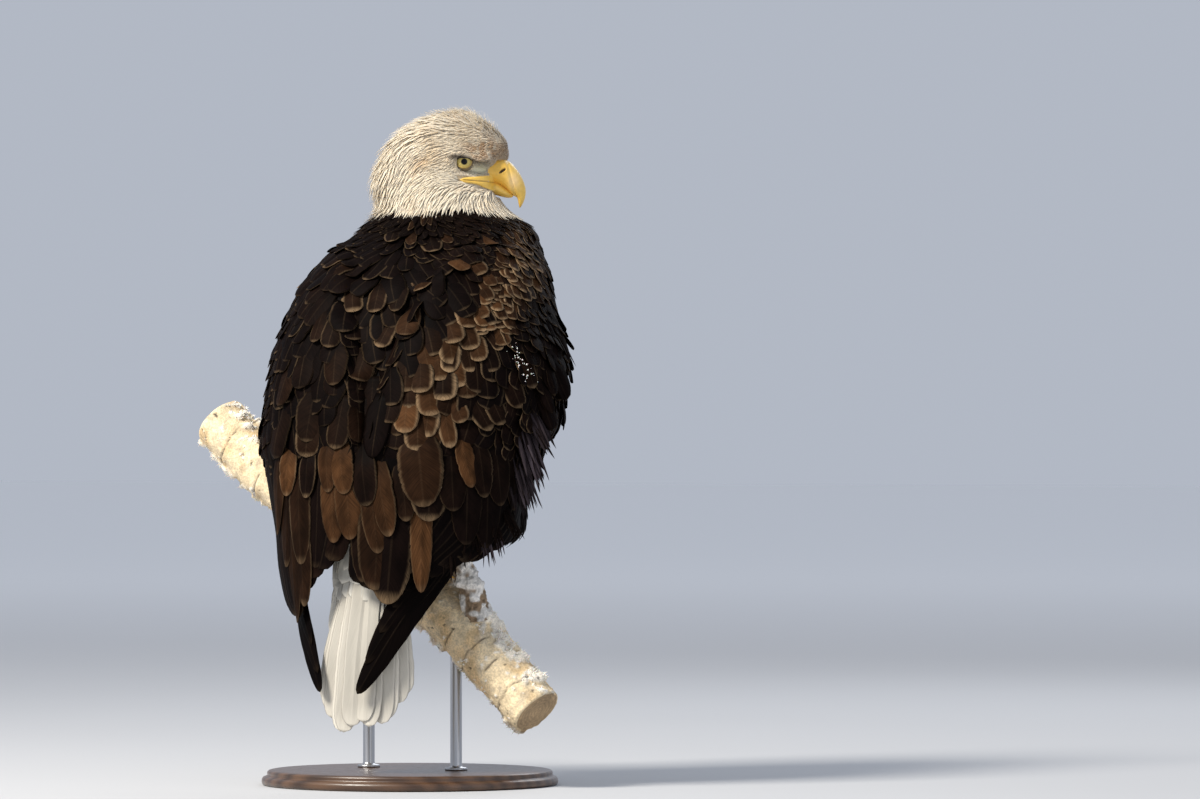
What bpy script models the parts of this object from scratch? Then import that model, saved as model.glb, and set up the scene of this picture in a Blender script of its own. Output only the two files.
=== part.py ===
"""A life-size bald eagle at rest on a cut length of branch, held by a plain display stand.

The bird faces +Y with its head turned to its own right. X = 0 is the middle plane of its body,
+Z is up, and the origin is the middle of the underside of the stand's base. Sizes are written
in millimetres and scaled once, by MM, where meshes are made.
"""

from math import atan2, cos, pi, radians, sin, sqrt

import bmesh
import bpy
from mathutils import Matrix, Vector

# ---------------------------------------------------------------------------
# driving sizes, in millimetres and degrees
# ---------------------------------------------------------------------------

MM = 0.001
GAP = 0.3                       # free space left between two pieces that meet
SHEET_GAP = 0.6                 # the same between thin layers of feathers

HEAD_TURN = 68.0                # how far the head is turned to the bird's right
NECK_AXIS = (0.0, 100.0)        # plan position of the axis that the head turns about
HEAD_SPLIT = 704.0              # height of the cut between head and neck
NECK_SPLIT = 664.0              # height of the cut between neck and trunk

PERCH_RADIUS = 33.5
PERCH_MIDDLE = (0.0, 15.0, 239.8)      # the point of the branch's centre line under the bird
PERCH_HEADING = -14.0                   # plan direction of the branch from +X
PERCH_FALL = -0.602                     # rise per unit of plan length under the bird
PERCH_END_FALL = -0.913                 # the same beyond the two bends
PERCH_BENDS = (-249.0, 55.0)            # plan distance of the bends from the middle point
PERCH_ENDS = (-300.0, 182.0)            # plan distance of the sawn ends

FOOT_STATIONS = {"left": -62.0, "right": 28.0}   # plan distance of each foot along the branch
TOE_RADIUS = 7.2

TAIL_TOP = 352.0
TAIL_TIP = 67.0
TAIL_HALF_WIDTH = 56.0
RECTRICES = 12
TAIL_LEAN = -10.0               # how far the tip hangs to the bird's left

BASE_RADIUS = 178.0
BASE_HEIGHT = 18.0
BASE_EDGE = 3.0
ROD_RADIUS = 7.0
ROD_STATIONS = (-70.0, 62.0)    # plan distance of the two rods along the branch

EYE_RADIUS = 11.5
EYE_FORWARD = 25.6              # from the neck axis, along the head
EYE_HEIGHT = 749.0
EYE_SIDE = 31.5

SIDES = {"left": -1.0, "right": 1.0}

# ---------------------------------------------------------------------------
# tables of stations: each row is a height and the sizes of the form there
# ---------------------------------------------------------------------------

# height: back and front reach from the neck axis, half-width, narrowing towards the face
HEAD_STATIONS = (
    (811.0, (22.0, 30.0, 4.0, 0.0)),
    (808.0, (0.0, 38.0, 18.0, 0.05)),
    (802.0, (-20.0, 47.0, 29.0, 0.10)),
    (791.0, (-43.0, 62.0, 40.0, 0.18)),
    (779.0, (-58.0, 76.0, 46.0, 0.26)),
    (766.0, (-69.0, 81.0, 49.0, 0.34)),
    (753.0, (-76.5, 81.0, 50.5, 0.36)),
    (741.0, (-82.5, 68.0, 52.0, 0.34)),
    (728.0, (-84.0, 65.0, 56.0, 0.26)),
    (716.0, (-83.0, 67.0, 62.0, 0.18)),
    (702.0, (-80.5, 72.0, 70.0, 0.08)),
    (690.0, (-79.0, 78.0, 77.0, 0.0)),
)

# height: middle in Y, reach to the right, left, front and back
TRUNK_STATIONS = (
    (690.0, (100.0, 78.0, 77.0, 78.5, 78.5)),
    (676.0, (97.0, 100.0, 88.0, 94.0, 86.0)),
    (662.0, (90.0, 118.0, 100.0, 108.0, 94.0)),
    (640.0, (70.0, 127.0, 117.0, 128.0, 106.0)),
    (610.0, (48.0, 136.0, 131.0, 144.0, 115.0)),
    (570.0, (30.0, 146.0, 138.0, 156.0, 119.0)),
    (520.0, (14.0, 149.0, 143.0, 158.0, 120.0)),
    (470.0, (2.0, 151.0, 147.0, 152.0, 120.0)),
    (420.0, (-8.0, 149.0, 146.0, 138.0, 118.0)),
    (380.0, (-16.0, 139.0, 136.0, 120.0, 111.0)),
    (346.0, (-22.0, 118.0, 114.0, 96.0, 99.0)),
    (320.0, (-26.0, 84.0, 80.0, 66.0, 78.0)),
    (306.0, (-28.0, 48.0, 46.0, 38.0, 48.0)),
    (300.0, (-28.0, 18.0, 18.0, 16.0, 20.0)),
)

# the outer form of the folded wings, same columns as the trunk
WING_STATIONS = (
    (650.0, (78.0, 128.0, 116.0, 124.0, 112.0)),
    (630.0, (62.0, 141.0, 130.0, 138.0, 119.0)),
    (600.0, (42.0, 152.0, 146.0, 152.0, 127.0)),
    (560.0, (24.0, 165.0, 160.0, 160.0, 132.0)),
    (510.0, (10.0, 186.0, 173.0, 162.0, 135.0)),
    (460.0, (0.0, 187.0, 177.0, 148.0, 135.0)),
    (410.0, (-8.0, 184.0, 182.0, 128.0, 133.0)),
    (360.0, (-20.0, 170.0, 170.0, 96.0, 126.0)),
    (310.0, (-32.0, 156.0, 156.0, 60.0, 117.0)),
    (260.0, (-42.0, 143.0, 147.0, 50.0, 108.0)),
    (210.0, (-52.0, 120.0, 128.0, 40.0, 98.0)),
    (150.0, (-62.0, 84.0, 92.0, 30.0, 86.0)),
    (110.0, (-68.0, 60.0, 66.0, 25.0, 78.0)),
)

# height: bearing of the wing's front edge from straight out to the side, in degrees (+ is forward),
# and the distance of its rear edge from the middle plane
WING_EDGES = {
    "right": (
        (646.0, (24.0, 74.0)),
        (620.0, (44.0, 62.0)),
        (580.0, (54.0, 46.0)),
        (510.0, (50.0, 26.0)),
        (450.0, (40.0, 9.0)),
        (395.0, (27.0, 3.0)),
        (340.0, (12.0, 0.0)),
        (300.0, (-6.0, -3.0)),
        (262.0, (-34.0, -2.0)),
        (226.0, (-48.0, 4.0)),
    ),
    "left": (
        (646.0, (24.0, 74.0)),
        (620.0, (44.0, 62.0)),
        (580.0, (54.0, 46.0)),
        (510.0, (48.0, 26.0)),
        (450.0, (34.0, 10.0)),
        (404.0, (12.0, 8.0)),
        (350.0, (4.0, 14.0)),
        (300.0, (-6.0, 26.0)),
        (240.0, (-16.0, 52.0)),
        (196.0, (-30.0, 70.0)),
    ),
}

# height of the lower edge of the coverts, and of the secondaries at the rear and the outer side
COVERT_EDGE = {"right": (398.0, 372.0), "left": (398.0, 388.0)}
SECONDARY_EDGE = {"right": (228.0, 262.0), "left": (256.0, 200.0)}
SECONDARY_LOBES = 7

# folded primaries: where the bunch starts, its outer and inner ends, and its tip
PRIMARY_PATHS = {
    "right": ((104.0, -62.0, 330.0), (78.0, -112.0, 262.0), (42.0, -140.0, 200.0), (-7.0, -151.0, 116.0)),
    "left": ((-126.0, -48.0, 322.0), (-114.0, -80.0, 262.0), (-92.0, -110.0, 200.0), (-56.0, -138.0, 116.0)),
}
PRIMARY_WIDTHS = {"right": (54.0, 62.0, 54.0, 8.0), "left": (46.0, 54.0, 42.0, 8.0)}

# height: middle (side, forward), half-width, half-depth of the feathered thigh
THIGH_STATIONS = (
    (425.0, (86.0, 66.0, 42.0, 46.0)),
    (395.0, (92.0, 64.0, 53.0, 60.0)),
    (360.0, (94.0, 56.0, 53.0, 59.0)),
    (328.0, (91.0, 46.0, 46.0, 52.0)),
    (303.0, (86.0, 38.0, 40.0, 46.0)),
    (288.0, (77.0, 28.0, 27.0, 33.0)),
    (278.0, (68.0, 20.0, 12.0, 16.0)),
)
THIGH_LIFT = {"left": 40.0, "right": 0.0}

# forward reach and height of the top and bottom of each bill section, and its half-width
UPPER_BILL = (
    (62.0, 754.0, 58.0, 727.0, 17.0),
    (73.0, 754.0, 69.0, 724.5, 16.5),
    (82.0, 749.5, 77.0, 721.5, 15.0),
    (90.0, 740.5, 83.0, 717.5, 12.6),
    (96.8, 729.0, 87.0, 712.5, 9.8),
    (100.4, 717.0, 89.6, 706.5, 6.9),
    (99.6, 706.5, 90.8, 700.5, 4.4),
    (96.4, 698.5, 92.0, 695.8, 2.4),
    (93.6, 694.2, 92.4, 693.8, 0.8),
)
LOWER_BILL = (
    (56.0, 728.0, 54.0, 712.5, 15.8),
    (68.0, 726.0, 67.0, 709.8, 14.2),
    (79.0, 721.0, 79.0, 707.4, 10.6),
    (84.5, 715.0, 85.0, 707.6, 6.4),
    (86.6, 711.6, 87.0, 709.6, 2.6),
)

# each toe: bearing on the branch (1 forward, -1 back), sideways spread in degrees (+ outward),
# length, and the length of its claw
TOES = {
    "inner": (1.0, -27.0, 52.0, 39.0),
    "middle": (1.0, 0.0, 74.0, 35.0),
    "outer": (1.0, 27.0, 55.0, 29.0),
    "hind": (-1.0, -10.0, 38.0, 43.0),
}

COLOURS = {
    "white_plumage": ((0.86, 0.83, 0.75, 1.0), 0.85),
    "dark_plumage": ((0.035, 0.022, 0.016, 1.0), 0.8),
    "bill_horn": ((0.85, 0.52, 0.08, 1.0), 0.4),
    "foot_skin": ((0.84, 0.60, 0.14, 1.0), 0.6),
    "claw_horn": ((0.02, 0.02, 0.022, 1.0), 0.35),
    "eye_ball": ((0.80, 0.72, 0.35, 1.0), 0.08),
    "frosted_bark": ((0.62, 0.50, 0.34, 1.0), 0.9),
    "stand_wood": ((0.09, 0.055, 0.035, 1.0), 0.45),
    "stand_steel": ((0.55, 0.55, 0.56, 1.0), 0.3),
}
METALS = ("stand_steel",)

# ---------------------------------------------------------------------------
# helpers
# ---------------------------------------------------------------------------


def clear_scene():
    for thing in list(bpy.data.objects):
        bpy.data.objects.remove(thing, do_unlink=True)
    for group in list(bpy.data.collections):
        bpy.data.collections.remove(group)


def new_collection(name):
    group = bpy.data.collections.new(name)
    bpy.context.scene.collection.children.link(group)
    return group


def material(name):
    found = bpy.data.materials.get(name)
    if found:
        return found
    colour, roughness = COLOURS[name]
    found = bpy.data.materials.new(name)
    found.use_nodes = True
    shader = found.node_tree.nodes["Principled BSDF"]
    shader.inputs["Base Color"].default_value = colour
    shader.inputs["Roughness"].default_value = roughness
    shader.inputs["Metallic"].default_value = 1.0 if name in METALS else 0.0
    return found


def station(table, height):
    """The columns of a table of heights, read smoothly at any height."""
    rows = sorted(table)
    height = min(max(height, rows[0][0]), rows[-1][0])
    upper = next(i for i in range(1, len(rows)) if height <= rows[i][0])
    h0, h1 = rows[upper - 1][0], rows[upper][0]
    t = (height - h0) / (h1 - h0)

    def slope(index, column):
        before, after = max(index - 1, 0), min(index + 1, len(rows) - 1)
        rise = rows[after][1][column] - rows[before][1][column]
        return rise / (rows[after][0] - rows[before][0])

    values = []
    for column in range(len(rows[0][1])):
        a, b = rows[upper - 1][1][column], rows[upper][1][column]
        ma = slope(upper - 1, column) * (h1 - h0)
        mb = slope(upper, column) * (h1 - h0)
        values.append(a * (2 * t**3 - 3 * t**2 + 1) + ma * (t**3 - 2 * t**2 + t)
                      + b * (3 * t**2 - 2 * t**3) + mb * (t**3 - t**2))
    return values


def blend(a, b, t):
    return a + (b - a) * t


def smoothstep(low, high, value):
    t = min(max((value - low) / (high - low), 0.0), 1.0)
    return t * t * (3.0 - 2.0 * t)


def add_mesh(name, bm, group, slot=None, smooth=True):
    """Turn a bmesh measured in millimetres into an object measured in metres."""
    bmesh.ops.scale(bm, vec=(MM, MM, MM), verts=bm.verts)
    bmesh.ops.recalc_face_normals(bm, faces=bm.faces)
    if smooth:
        for face in bm.faces:
            face.smooth = True
    mesh = bpy.data.meshes.new(name)
    bm.to_mesh(mesh)
    bm.free()
    piece = bpy.data.objects.new(name, mesh)
    group.objects.link(piece)
    if slot:
        mesh.materials.append(material(slot))
    else:
        piece.hide_render = True
        piece.display_type = "WIRE"
    return piece


def loft(rings, name, group, slot=None):
    """A closed body through a row of rings that have the same number of points."""
    bm = bmesh.new()
    loops = [[bm.verts.new(p) for p in ring] for ring in rings]
    count = len(loops[0])
    for lower, upper in zip(loops, loops[1:]):
        for k in range(count):
            n = (k + 1) % count
            bm.faces.new((lower[k], lower[n], upper[n], upper[k]))
    for loop in (loops[0], loops[-1]):
        bm.faces.new(loop)
    return add_mesh(name, bm, group, slot)


def sheet(outer, inner, name, group, slot=None):
    """A closed body between two grids of points, such as a wing or a fan of feathers."""
    bm = bmesh.new()
    top = [[bm.verts.new(p) for p in row] for row in outer]
    low = [[bm.verts.new(p) for p in row] for row in inner]
    rows, columns = len(top), len(top[0])
    for i in range(rows - 1):
        for j in range(columns - 1):
            bm.faces.new((top[i][j], top[i + 1][j], top[i + 1][j + 1], top[i][j + 1]))
            bm.faces.new((low[i][j], low[i][j + 1], low[i + 1][j + 1], low[i + 1][j]))
    for j in range(columns - 1):
        bm.faces.new((top[0][j], top[0][j + 1], low[0][j + 1], low[0][j]))
        bm.faces.new((top[-1][j + 1], top[-1][j], low[-1][j], low[-1][j + 1]))
    for i in range(rows - 1):
        bm.faces.new((top[i + 1][0], top[i][0], low[i][0], low[i + 1][0]))
        bm.faces.new((top[i][-1], top[i + 1][-1], low[i + 1][-1], low[i][-1]))
    return add_mesh(name, bm, group, slot)


def tube(points, radii, name, group, slot=None, roundness=3):
    """A round rod along a row of points, thick as its radii say, as a mesh with closed ends."""
    curve = bpy.data.curves.new(name + "_curve", "CURVE")
    curve.dimensions = "3D"
    curve.bevel_depth = MM
    curve.bevel_resolution = roundness
    curve.use_fill_caps = True
    spline = curve.splines.new("POLY")
    spline.points.add(len(points) - 1)
    for knot, place, radius in zip(spline.points, points, radii):
        knot.co = (*(Vector(place) * MM), 1.0)
        knot.radius = radius
    guide = bpy.data.objects.new(name + "_guide", curve)
    group.objects.link(guide)
    bpy.context.view_layer.update()
    graph = bpy.context.evaluated_depsgraph_get()
    mesh = bpy.data.meshes.new_from_object(guide.evaluated_get(graph))
    bpy.data.objects.remove(guide, do_unlink=True)
    bpy.data.curves.remove(curve)
    bm = bmesh.new()
    bm.from_mesh(mesh)
    bpy.data.meshes.remove(mesh)
    bmesh.ops.remove_doubles(bm, verts=bm.verts, dist=0.00001)
    bmesh.ops.scale(bm, vec=(1.0 / MM,) * 3, verts=bm.verts)
    return add_mesh(name, bm, group, slot)


def grown_copy(piece, amount, cutters):
    """A cutter with the piece's shape, its skin moved outward by the amount."""
    bpy.context.view_layer.update()
    graph = bpy.context.evaluated_depsgraph_get()
    mesh = bpy.data.meshes.new_from_object(piece.evaluated_get(graph))
    mesh.transform(piece.matrix_world)
    bm = bmesh.new()
    bm.from_mesh(mesh)
    bpy.data.meshes.remove(mesh)
    bmesh.ops.scale(bm, vec=(1.0 / MM,) * 3, verts=bm.verts)
    bm.normal_update()
    moves = [(v, v.normal * amount * max(v.calc_shell_factor(), 1.0)) for v in bm.verts]
    for vert, move in moves:
        vert.co += move
    return add_mesh(piece.name + "_room", bm, cutters)


def cut(piece, cutter, operation="DIFFERENCE"):
    step = piece.modifiers.new(cutter.name, "BOOLEAN")
    step.operation = operation
    step.solver = "EXACT"
    step.object = cutter


def make_room(piece, neighbour, cutters, amount=GAP):
    cut(piece, grown_copy(neighbour, amount, cutters))


def islands(bm):
    """The separate bodies of a mesh, as lists of vertices."""
    left, found = set(bm.verts), []
    while left:
        todo, body = [left.pop()], []
        while todo:
            vert = todo.pop()
            body.append(vert)
            for edge in vert.link_edges:
                other = edge.other_vert(vert)
                if other in left:
                    left.remove(other)
                    todo.append(other)
        found.append(body)
    return found


def body_volume(verts):
    """The volume inside a closed body's faces."""
    total = 0.0
    for face in {face for vert in verts for face in vert.link_faces}:
        corners = [vert.co for vert in face.verts]
        for second, third in zip(corners[1:], corners[2:]):
            total += corners[0].dot(second.cross(third)) / 6.0
    return abs(total)


def settle(piece):
    """Apply the cuts and keep the main body, without the crumbs that a cut leaves beside it."""
    bpy.context.view_layer.update()
    graph = bpy.context.evaluated_depsgraph_get()
    mesh = bpy.data.meshes.new_from_object(piece.evaluated_get(graph))
    piece.modifiers.clear()
    bm = bmesh.new()
    bm.from_mesh(mesh)
    bodies = sorted(islands(bm), key=body_volume, reverse=True)
    for crumbs in bodies[1:]:
        bmesh.ops.delete(bm, geom=crumbs, context="VERTS")
    bmesh.ops.recalc_face_normals(bm, faces=bm.faces)
    bm.to_mesh(mesh)
    bm.free()
    old = piece.data
    piece.data = mesh
    bpy.data.meshes.remove(old)
    mesh.name = piece.name


# ---------------------------------------------------------------------------
# directions and paths
# ---------------------------------------------------------------------------

HEAD_FORWARD = Vector((sin(radians(HEAD_TURN)), cos(radians(HEAD_TURN)), 0.0))
HEAD_LEFT = Vector((-HEAD_FORWARD.y, HEAD_FORWARD.x, 0.0))
HEAD_BEARING = atan2(HEAD_FORWARD.y, HEAD_FORWARD.x)


def head_point(forward, left, height):
    """A point given in the head's own directions."""
    axis = Vector((*NECK_AXIS, 0.0))
    return axis + HEAD_FORWARD * forward + HEAD_LEFT * left + Vector((0.0, 0.0, height))


def perch_height(distance):
    """Height of the branch's centre line at a plan distance from its middle point."""
    left, right = PERCH_BENDS
    inner = min(max(distance, left), right)
    return PERCH_MIDDLE[2] + PERCH_FALL * inner + PERCH_END_FALL * (distance - inner)


def perch_point(distance):
    """The centre line of the branch, its two bends rounded off."""
    reach, samples = 34.0, 7
    heights = [perch_height(distance + blend(-reach, reach, k / (samples - 1))) for k in range(samples)]
    heading = radians(PERCH_HEADING)
    return Vector((PERCH_MIDDLE[0] + distance * cos(heading),
                   PERCH_MIDDLE[1] + distance * sin(heading),
                   sum(heights) / samples))


def perch_directions(distance):
    """Along the branch, its upper side and its front side, at a plan distance."""
    along = (perch_point(distance + 1.0) - perch_point(distance - 1.0)).normalized()
    front = Vector((0.0, 0.0, 1.0)).cross(along).normalized()
    upper = along.cross(front).normalized()
    return along, upper, front


def perch_surface(distance, bearing, lift):
    """A point at a height over the bark; the bearing turns from the top towards the front."""
    along, upper, front = perch_directions(distance)
    out = upper * cos(bearing) + front * sin(bearing)
    return perch_point(distance) + out * (PERCH_RADIUS + lift)


# ---------------------------------------------------------------------------
# head, neck and trunk: one form, parted by thin level cuts
# ---------------------------------------------------------------------------

BODY_POINTS = 28


def head_ring(height):
    back, front, half_width, narrowing = station(HEAD_STATIONS, height)
    middle, reach = (back + front) / 2.0, (front - back) / 2.0
    ring = []
    for k in range(BODY_POINTS):
        turn = 2.0 * pi * k / BODY_POINTS - HEAD_BEARING
        side = half_width * sin(turn) * (1.0 - narrowing * cos(turn))
        ring.append(head_point(middle + reach * cos(turn), side, height))
    return ring


def body_point(table, height, turn):
    middle, right, left, front, back = station(table, height)
    reach = front if sin(turn) > 0.0 else back
    half_width = right if cos(turn) > 0.0 else left
    fullness = 2.0 / 2.2
    x = half_width * abs(cos(turn)) ** fullness * (1.0 if cos(turn) > 0.0 else -1.0)
    y = reach * abs(sin(turn)) ** fullness * (1.0 if sin(turn) > 0.0 else -1.0)
    return Vector((x, middle + y, height))


def trunk_ring(height):
    return [body_point(TRUNK_STATIONS, height, 2.0 * pi * k / BODY_POINTS) for k in range(BODY_POINTS)]


def neck_ring(height):
    """The head's form above and the trunk's form below, run into each other."""
    share = smoothstep(702.0, 680.0, height)
    return [a.lerp(b, share) for a, b in zip(head_ring(height), trunk_ring(height))]


def levels(bottom, top, count):
    return [blend(bottom, top, k / (count - 1)) for k in range(count)]


def make_body(parts):
    crown = HEAD_STATIONS[0][0]
    heights = [HEAD_SPLIT + GAP / 2.0, 714.0, 725.0, 738.0, 751.0, 763.0, 775.0,
               787.0, 797.0, 805.0, crown]
    head = loft([head_ring(h) for h in heights], "head", parts, "white_plumage")
    heights = levels(NECK_SPLIT + GAP / 2.0, HEAD_SPLIT - GAP / 2.0, 5)
    neck = loft([neck_ring(h) for h in heights], "neck", parts, "white_plumage")
    heights = [300.0, 304.0, 311.0, 321.0] + levels(337.0, NECK_SPLIT - GAP / 2.0, 11)
    trunk = loft([trunk_ring(h) for h in heights], "trunk", parts, "dark_plumage")
    return head, neck, trunk


def make_bill_half(name, table, parts):
    points = 14
    rings = []
    for top_x, top_z, low_x, low_z, half_width in table:
        ring = []
        for k in range(points):
            turn = 2.0 * pi * (k + 0.5) / points
            rise = (1.0 + cos(turn)) / 2.0
            fullness = 1.0 + 0.18 * (1.0 - rise)
            side = half_width * sin(turn) * fullness
            ring.append(head_point(blend(low_x, top_x, rise), side, blend(low_z, top_z, rise)))
        rings.append(ring)
    return loft(rings, name, parts, "bill_horn")


def make_eye(side, parts):
    name = "eye_" + side
    bm = bmesh.new()
    bmesh.ops.create_uvsphere(bm, u_segments=12, v_segments=6, radius=EYE_RADIUS)
    place = head_point(EYE_FORWARD, -SIDES[side] * EYE_SIDE, EYE_HEIGHT)
    facing = (HEAD_LEFT * -SIDES[side]).to_track_quat("Z", "Y").to_matrix().to_4x4()
    bmesh.ops.transform(bm, matrix=Matrix.Translation(place) @ facing, verts=bm.verts)
    return add_mesh(name, bm, parts, "eye_ball")


# ---------------------------------------------------------------------------
# wings: arm with coverts, then secondaries, then the folded primaries
# ---------------------------------------------------------------------------


def wing_turns(side, height):
    """Bearings of the front and rear edge of a folded wing at a height, as if it were the right one."""
    bearing, rear = station(WING_EDGES[side], height)
    half_width = station(WING_STATIONS, height)[1 if side == "right" else 2]
    share = min(max(rear / half_width, -0.6), 0.95)
    fullness = 2.2 / 2.0
    cosine = abs(share) ** fullness * (1.0 if share > 0.0 else -1.0)
    rear_turn = -pi / 2.0 + (pi / 2.0 - atan2(sqrt(1.0 - cosine * cosine), cosine))
    return radians(bearing), rear_turn


def wing_point(side, height, share, depth):
    """A point of the folded wing: share 0 is the front edge, 1 the rear edge; depth is inward."""
    front_turn, rear_turn = wing_turns(side, height)
    turn, step = blend(front_turn, rear_turn, share), 0.02
    if side == "left":
        turn, step = pi - turn, -step
    before, place, after = (body_point(WING_STATIONS, height, turn + k * step) for k in (-1, 0, 1))
    across = (after - before) * SIDES[side]
    inward = Vector((-across.y, across.x, 0.0)).normalized()
    return place + inward * depth


def lobe(share, count, depth):
    """The rounded ends of a row of feathers: 0 at each feather's tip, the depth between two."""
    phase = (share * count) % 1.0
    return depth * (1.0 - sqrt(max(1.0 - (2.0 * phase - 1.0) ** 2, 0.0)))


def covert_edge(side, share):
    rear, outer = COVERT_EDGE[side][0], COVERT_EDGE[side][1]
    return blend(outer, rear, share) + 8.0 * sin(pi * share)


def make_wing(side, parts):
    """The arm and its coverts, from the shoulder to the lower edge of the coverts."""
    rows, columns = 10, 12
    outer, inner = [], []
    for i in range(rows):
        along = i / (rows - 1)
        top_row, low_row = [], []
        for j in range(columns):
            share = j / (columns - 1)
            edge = min(share, 1.0 - share) * 2.0
            height = blend(646.0, covert_edge(side, share), along)
            rim = smoothstep(0.0, 0.34, edge) * smoothstep(0.0, 0.22, along)
            sunk = 4.0 * (1.0 - rim) * (1.0 - smoothstep(0.55, 1.0, along)) * (0.35 + 0.65 * (share < 0.5))
            top_row.append(wing_point(side, height, share, sunk))
            low_row.append(wing_point(side, height, share, sunk + blend(8.0, 42.0, rim)))
        outer.append(top_row)
        inner.append(low_row)
    return sheet(outer, inner, "wing_" + side, parts, "dark_plumage")


def secondary_edge(side, share):
    rear, outer = SECONDARY_EDGE[side]
    swing = smoothstep(0.0, 0.45, share)
    edge = blend(COVERT_EDGE[side][1] - 60.0, outer, smoothstep(0.0, 0.30, share))
    return blend(edge, blend(outer, rear, share), swing)


def make_secondaries(side, parts):
    """The inner flight feathers, from under the coverts to their rounded ends."""
    rows, columns = 5, 3 * SECONDARY_LOBES + 1
    outer, inner = [], []
    for i in range(rows):
        along = i / (rows - 1)
        top_row, low_row = [], []
        for j in range(columns):
            share = j / (columns - 1)
            start = covert_edge(side, share) - GAP
            end = secondary_edge(side, share) + lobe(share, SECONDARY_LOBES, 11.0)
            height = blend(start, end, along)
            thick = blend(17.0, 2.4, along) * (0.35 + 0.65 * smoothstep(0.0, 0.2, min(share, 1.0 - share)))
            top_row.append(wing_point(side, height, share, blend(4.0, 6.0, along)))
            low_row.append(wing_point(side, height, share, blend(4.0, 6.0, along) + thick))
        outer.append(top_row)
        inner.append(low_row)
    return sheet(outer, inner, "secondaries_" + side, parts, "dark_plumage")


def quarter_path(points, t):
    """A smooth curve through four points, t from 0 to 1."""
    rows = [(float(k), tuple(p)) for k, p in enumerate(points)]
    return Vector(station(rows, t * (len(points) - 1)))


def make_primaries(side, parts):
    """The folded outer flight feathers: a narrow stack whose ends step towards one tip."""
    rows, columns, steps = 12, 5, 4
    path, widths = PRIMARY_PATHS[side], [(w,) for w in PRIMARY_WIDTHS[side]]
    outer, inner = [], []
    for i in range(rows):
        along = i / (rows - 1)
        middle = quarter_path(path, along)
        tangent = (quarter_path(path, min(along + 0.02, 1.0)) - quarter_path(path, max(along - 0.02, 0.0)))
        tangent.normalize()
        out = Vector((middle.x * 0.55, middle.y + 40.0, 0.0)).normalized()
        out = (out - tangent * out.dot(tangent)).normalized()
        across = tangent.cross(out).normalized()
        width = station([(float(k), w) for k, w in enumerate(widths)], along * (len(widths) - 1))[0]
        width *= 1.0 - 0.16 * ((along * steps) % 1.0) * smoothstep(0.45, 0.6, along)
        thick = blend(5.0, 1.6, along)
        top_row, low_row = [], []
        for j in range(columns):
            share = 2.0 * j / (columns - 1) - 1.0
            crown = 3.5 * (1.0 - share * share)
            place = middle + across * (share * width / 2.0) + out * crown
            top_row.append(place)
            low_row.append(place - out * thick)
        outer.append(top_row)
        inner.append(low_row)
    return sheet(outer, inner, "primaries_" + side, parts, "dark_plumage")


# ---------------------------------------------------------------------------
# tail
# ---------------------------------------------------------------------------


def tail_middle(height):
    """How far back the tail lies at a height."""
    return blend(-108.0, -131.0, smoothstep(TAIL_TOP, 150.0, height))


def make_tail(parts):
    """The closed fan of twelve tail feathers, arched across, with a stepped round end."""
    rows, columns = 6, 3 * (RECTRICES // 2) + 1
    outer, inner = [], []
    for i in range(rows):
        along = i / (rows - 1)
        top_row, low_row = [], []
        for j in range(columns):
            share = 2.0 * j / (columns - 1) - 1.0
            half = blend(26.0, TAIL_HALF_WIDTH, smoothstep(0.0, 0.75, along))
            end = TAIL_TIP + 26.0 * abs(share) ** 2.2
            end += lobe((share + 1.0) / 2.0, RECTRICES // 2, 12.0)
            height = blend(TAIL_TOP - 40.0, end, along)
            arch = 15.0 * share * share
            thick = blend(7.0, 1.8, along)
            x = half * share + TAIL_LEAN * along ** 2
            y = tail_middle(height) + arch
            top_row.append(Vector((x, y - thick / 2.0, height)))
            low_row.append(Vector((x, y + thick / 2.0, height)))
        outer.append(top_row)
        inner.append(low_row)
    return sheet(outer, inner, "tail", parts, "white_plumage")


def make_tail_coverts(parts):
    """The soft white feathers over and under the root of the tail."""
    points, rows = 16, 5
    rings = []
    for i in range(rows):
        along = i / (rows - 1)
        height = blend(350.0, 226.0, along)
        half = blend(64.0, 40.0, along)
        depth = blend(34.0, 7.0, smoothstep(0.0, 1.0, along))
        middle = tail_middle(height) + blend(14.0, 2.0, along)
        ring = []
        for k in range(points):
            turn = 2.0 * pi * k / points
            arch = 15.0 * (half * cos(turn) / TAIL_HALF_WIDTH) ** 2
            ring.append(Vector((half * cos(turn), middle + depth * sin(turn) + arch, height)))
        rings.append(ring)
    return loft(rings, "tail_coverts", parts, "white_plumage")


# ---------------------------------------------------------------------------
# legs and feet
# ---------------------------------------------------------------------------


def foot_place(side, lift):
    return perch_surface(FOOT_STATIONS[side], radians(4.0), lift)


def make_thigh(side, parts):
    """The feathered thigh, its lower end drawn in round the leg."""
    points = 18
    rings = []
    for height, (across, forward, half_width, half_depth) in sorted(THIGH_STATIONS):
        lifted = height + THIGH_LIFT[side] * smoothstep(430.0, 330.0, height)
        ring = []
        for k in range(points):
            turn = 2.0 * pi * k / points
            ring.append(Vector(((across + half_width * cos(turn)) * SIDES[side],
                                forward + half_depth * sin(turn), lifted)))
        rings.append(ring)
    return loft(rings, "thigh_" + side, parts, "dark_plumage")


def make_tarsus(side, parts):
    """The bare shank and the ball of the foot that the toes grow from."""
    ball = foot_place(side, 8.0)
    hock = Vector((66.0 * SIDES[side], -2.0 + 14.0 * (side == "left"), ball.z + 88.0))
    points = [ball - Vector((0.0, 0.0, 5.0)), ball + Vector((0.0, 0.0, 3.0))]
    points += [ball.lerp(hock, t) for t in (0.16, 0.34, 0.6, 1.0)]
    return tube(points, (8.0, 12.0, 9.6, 7.6, 7.4, 9.0), "tarsus_" + side, parts, "foot_skin")


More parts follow.
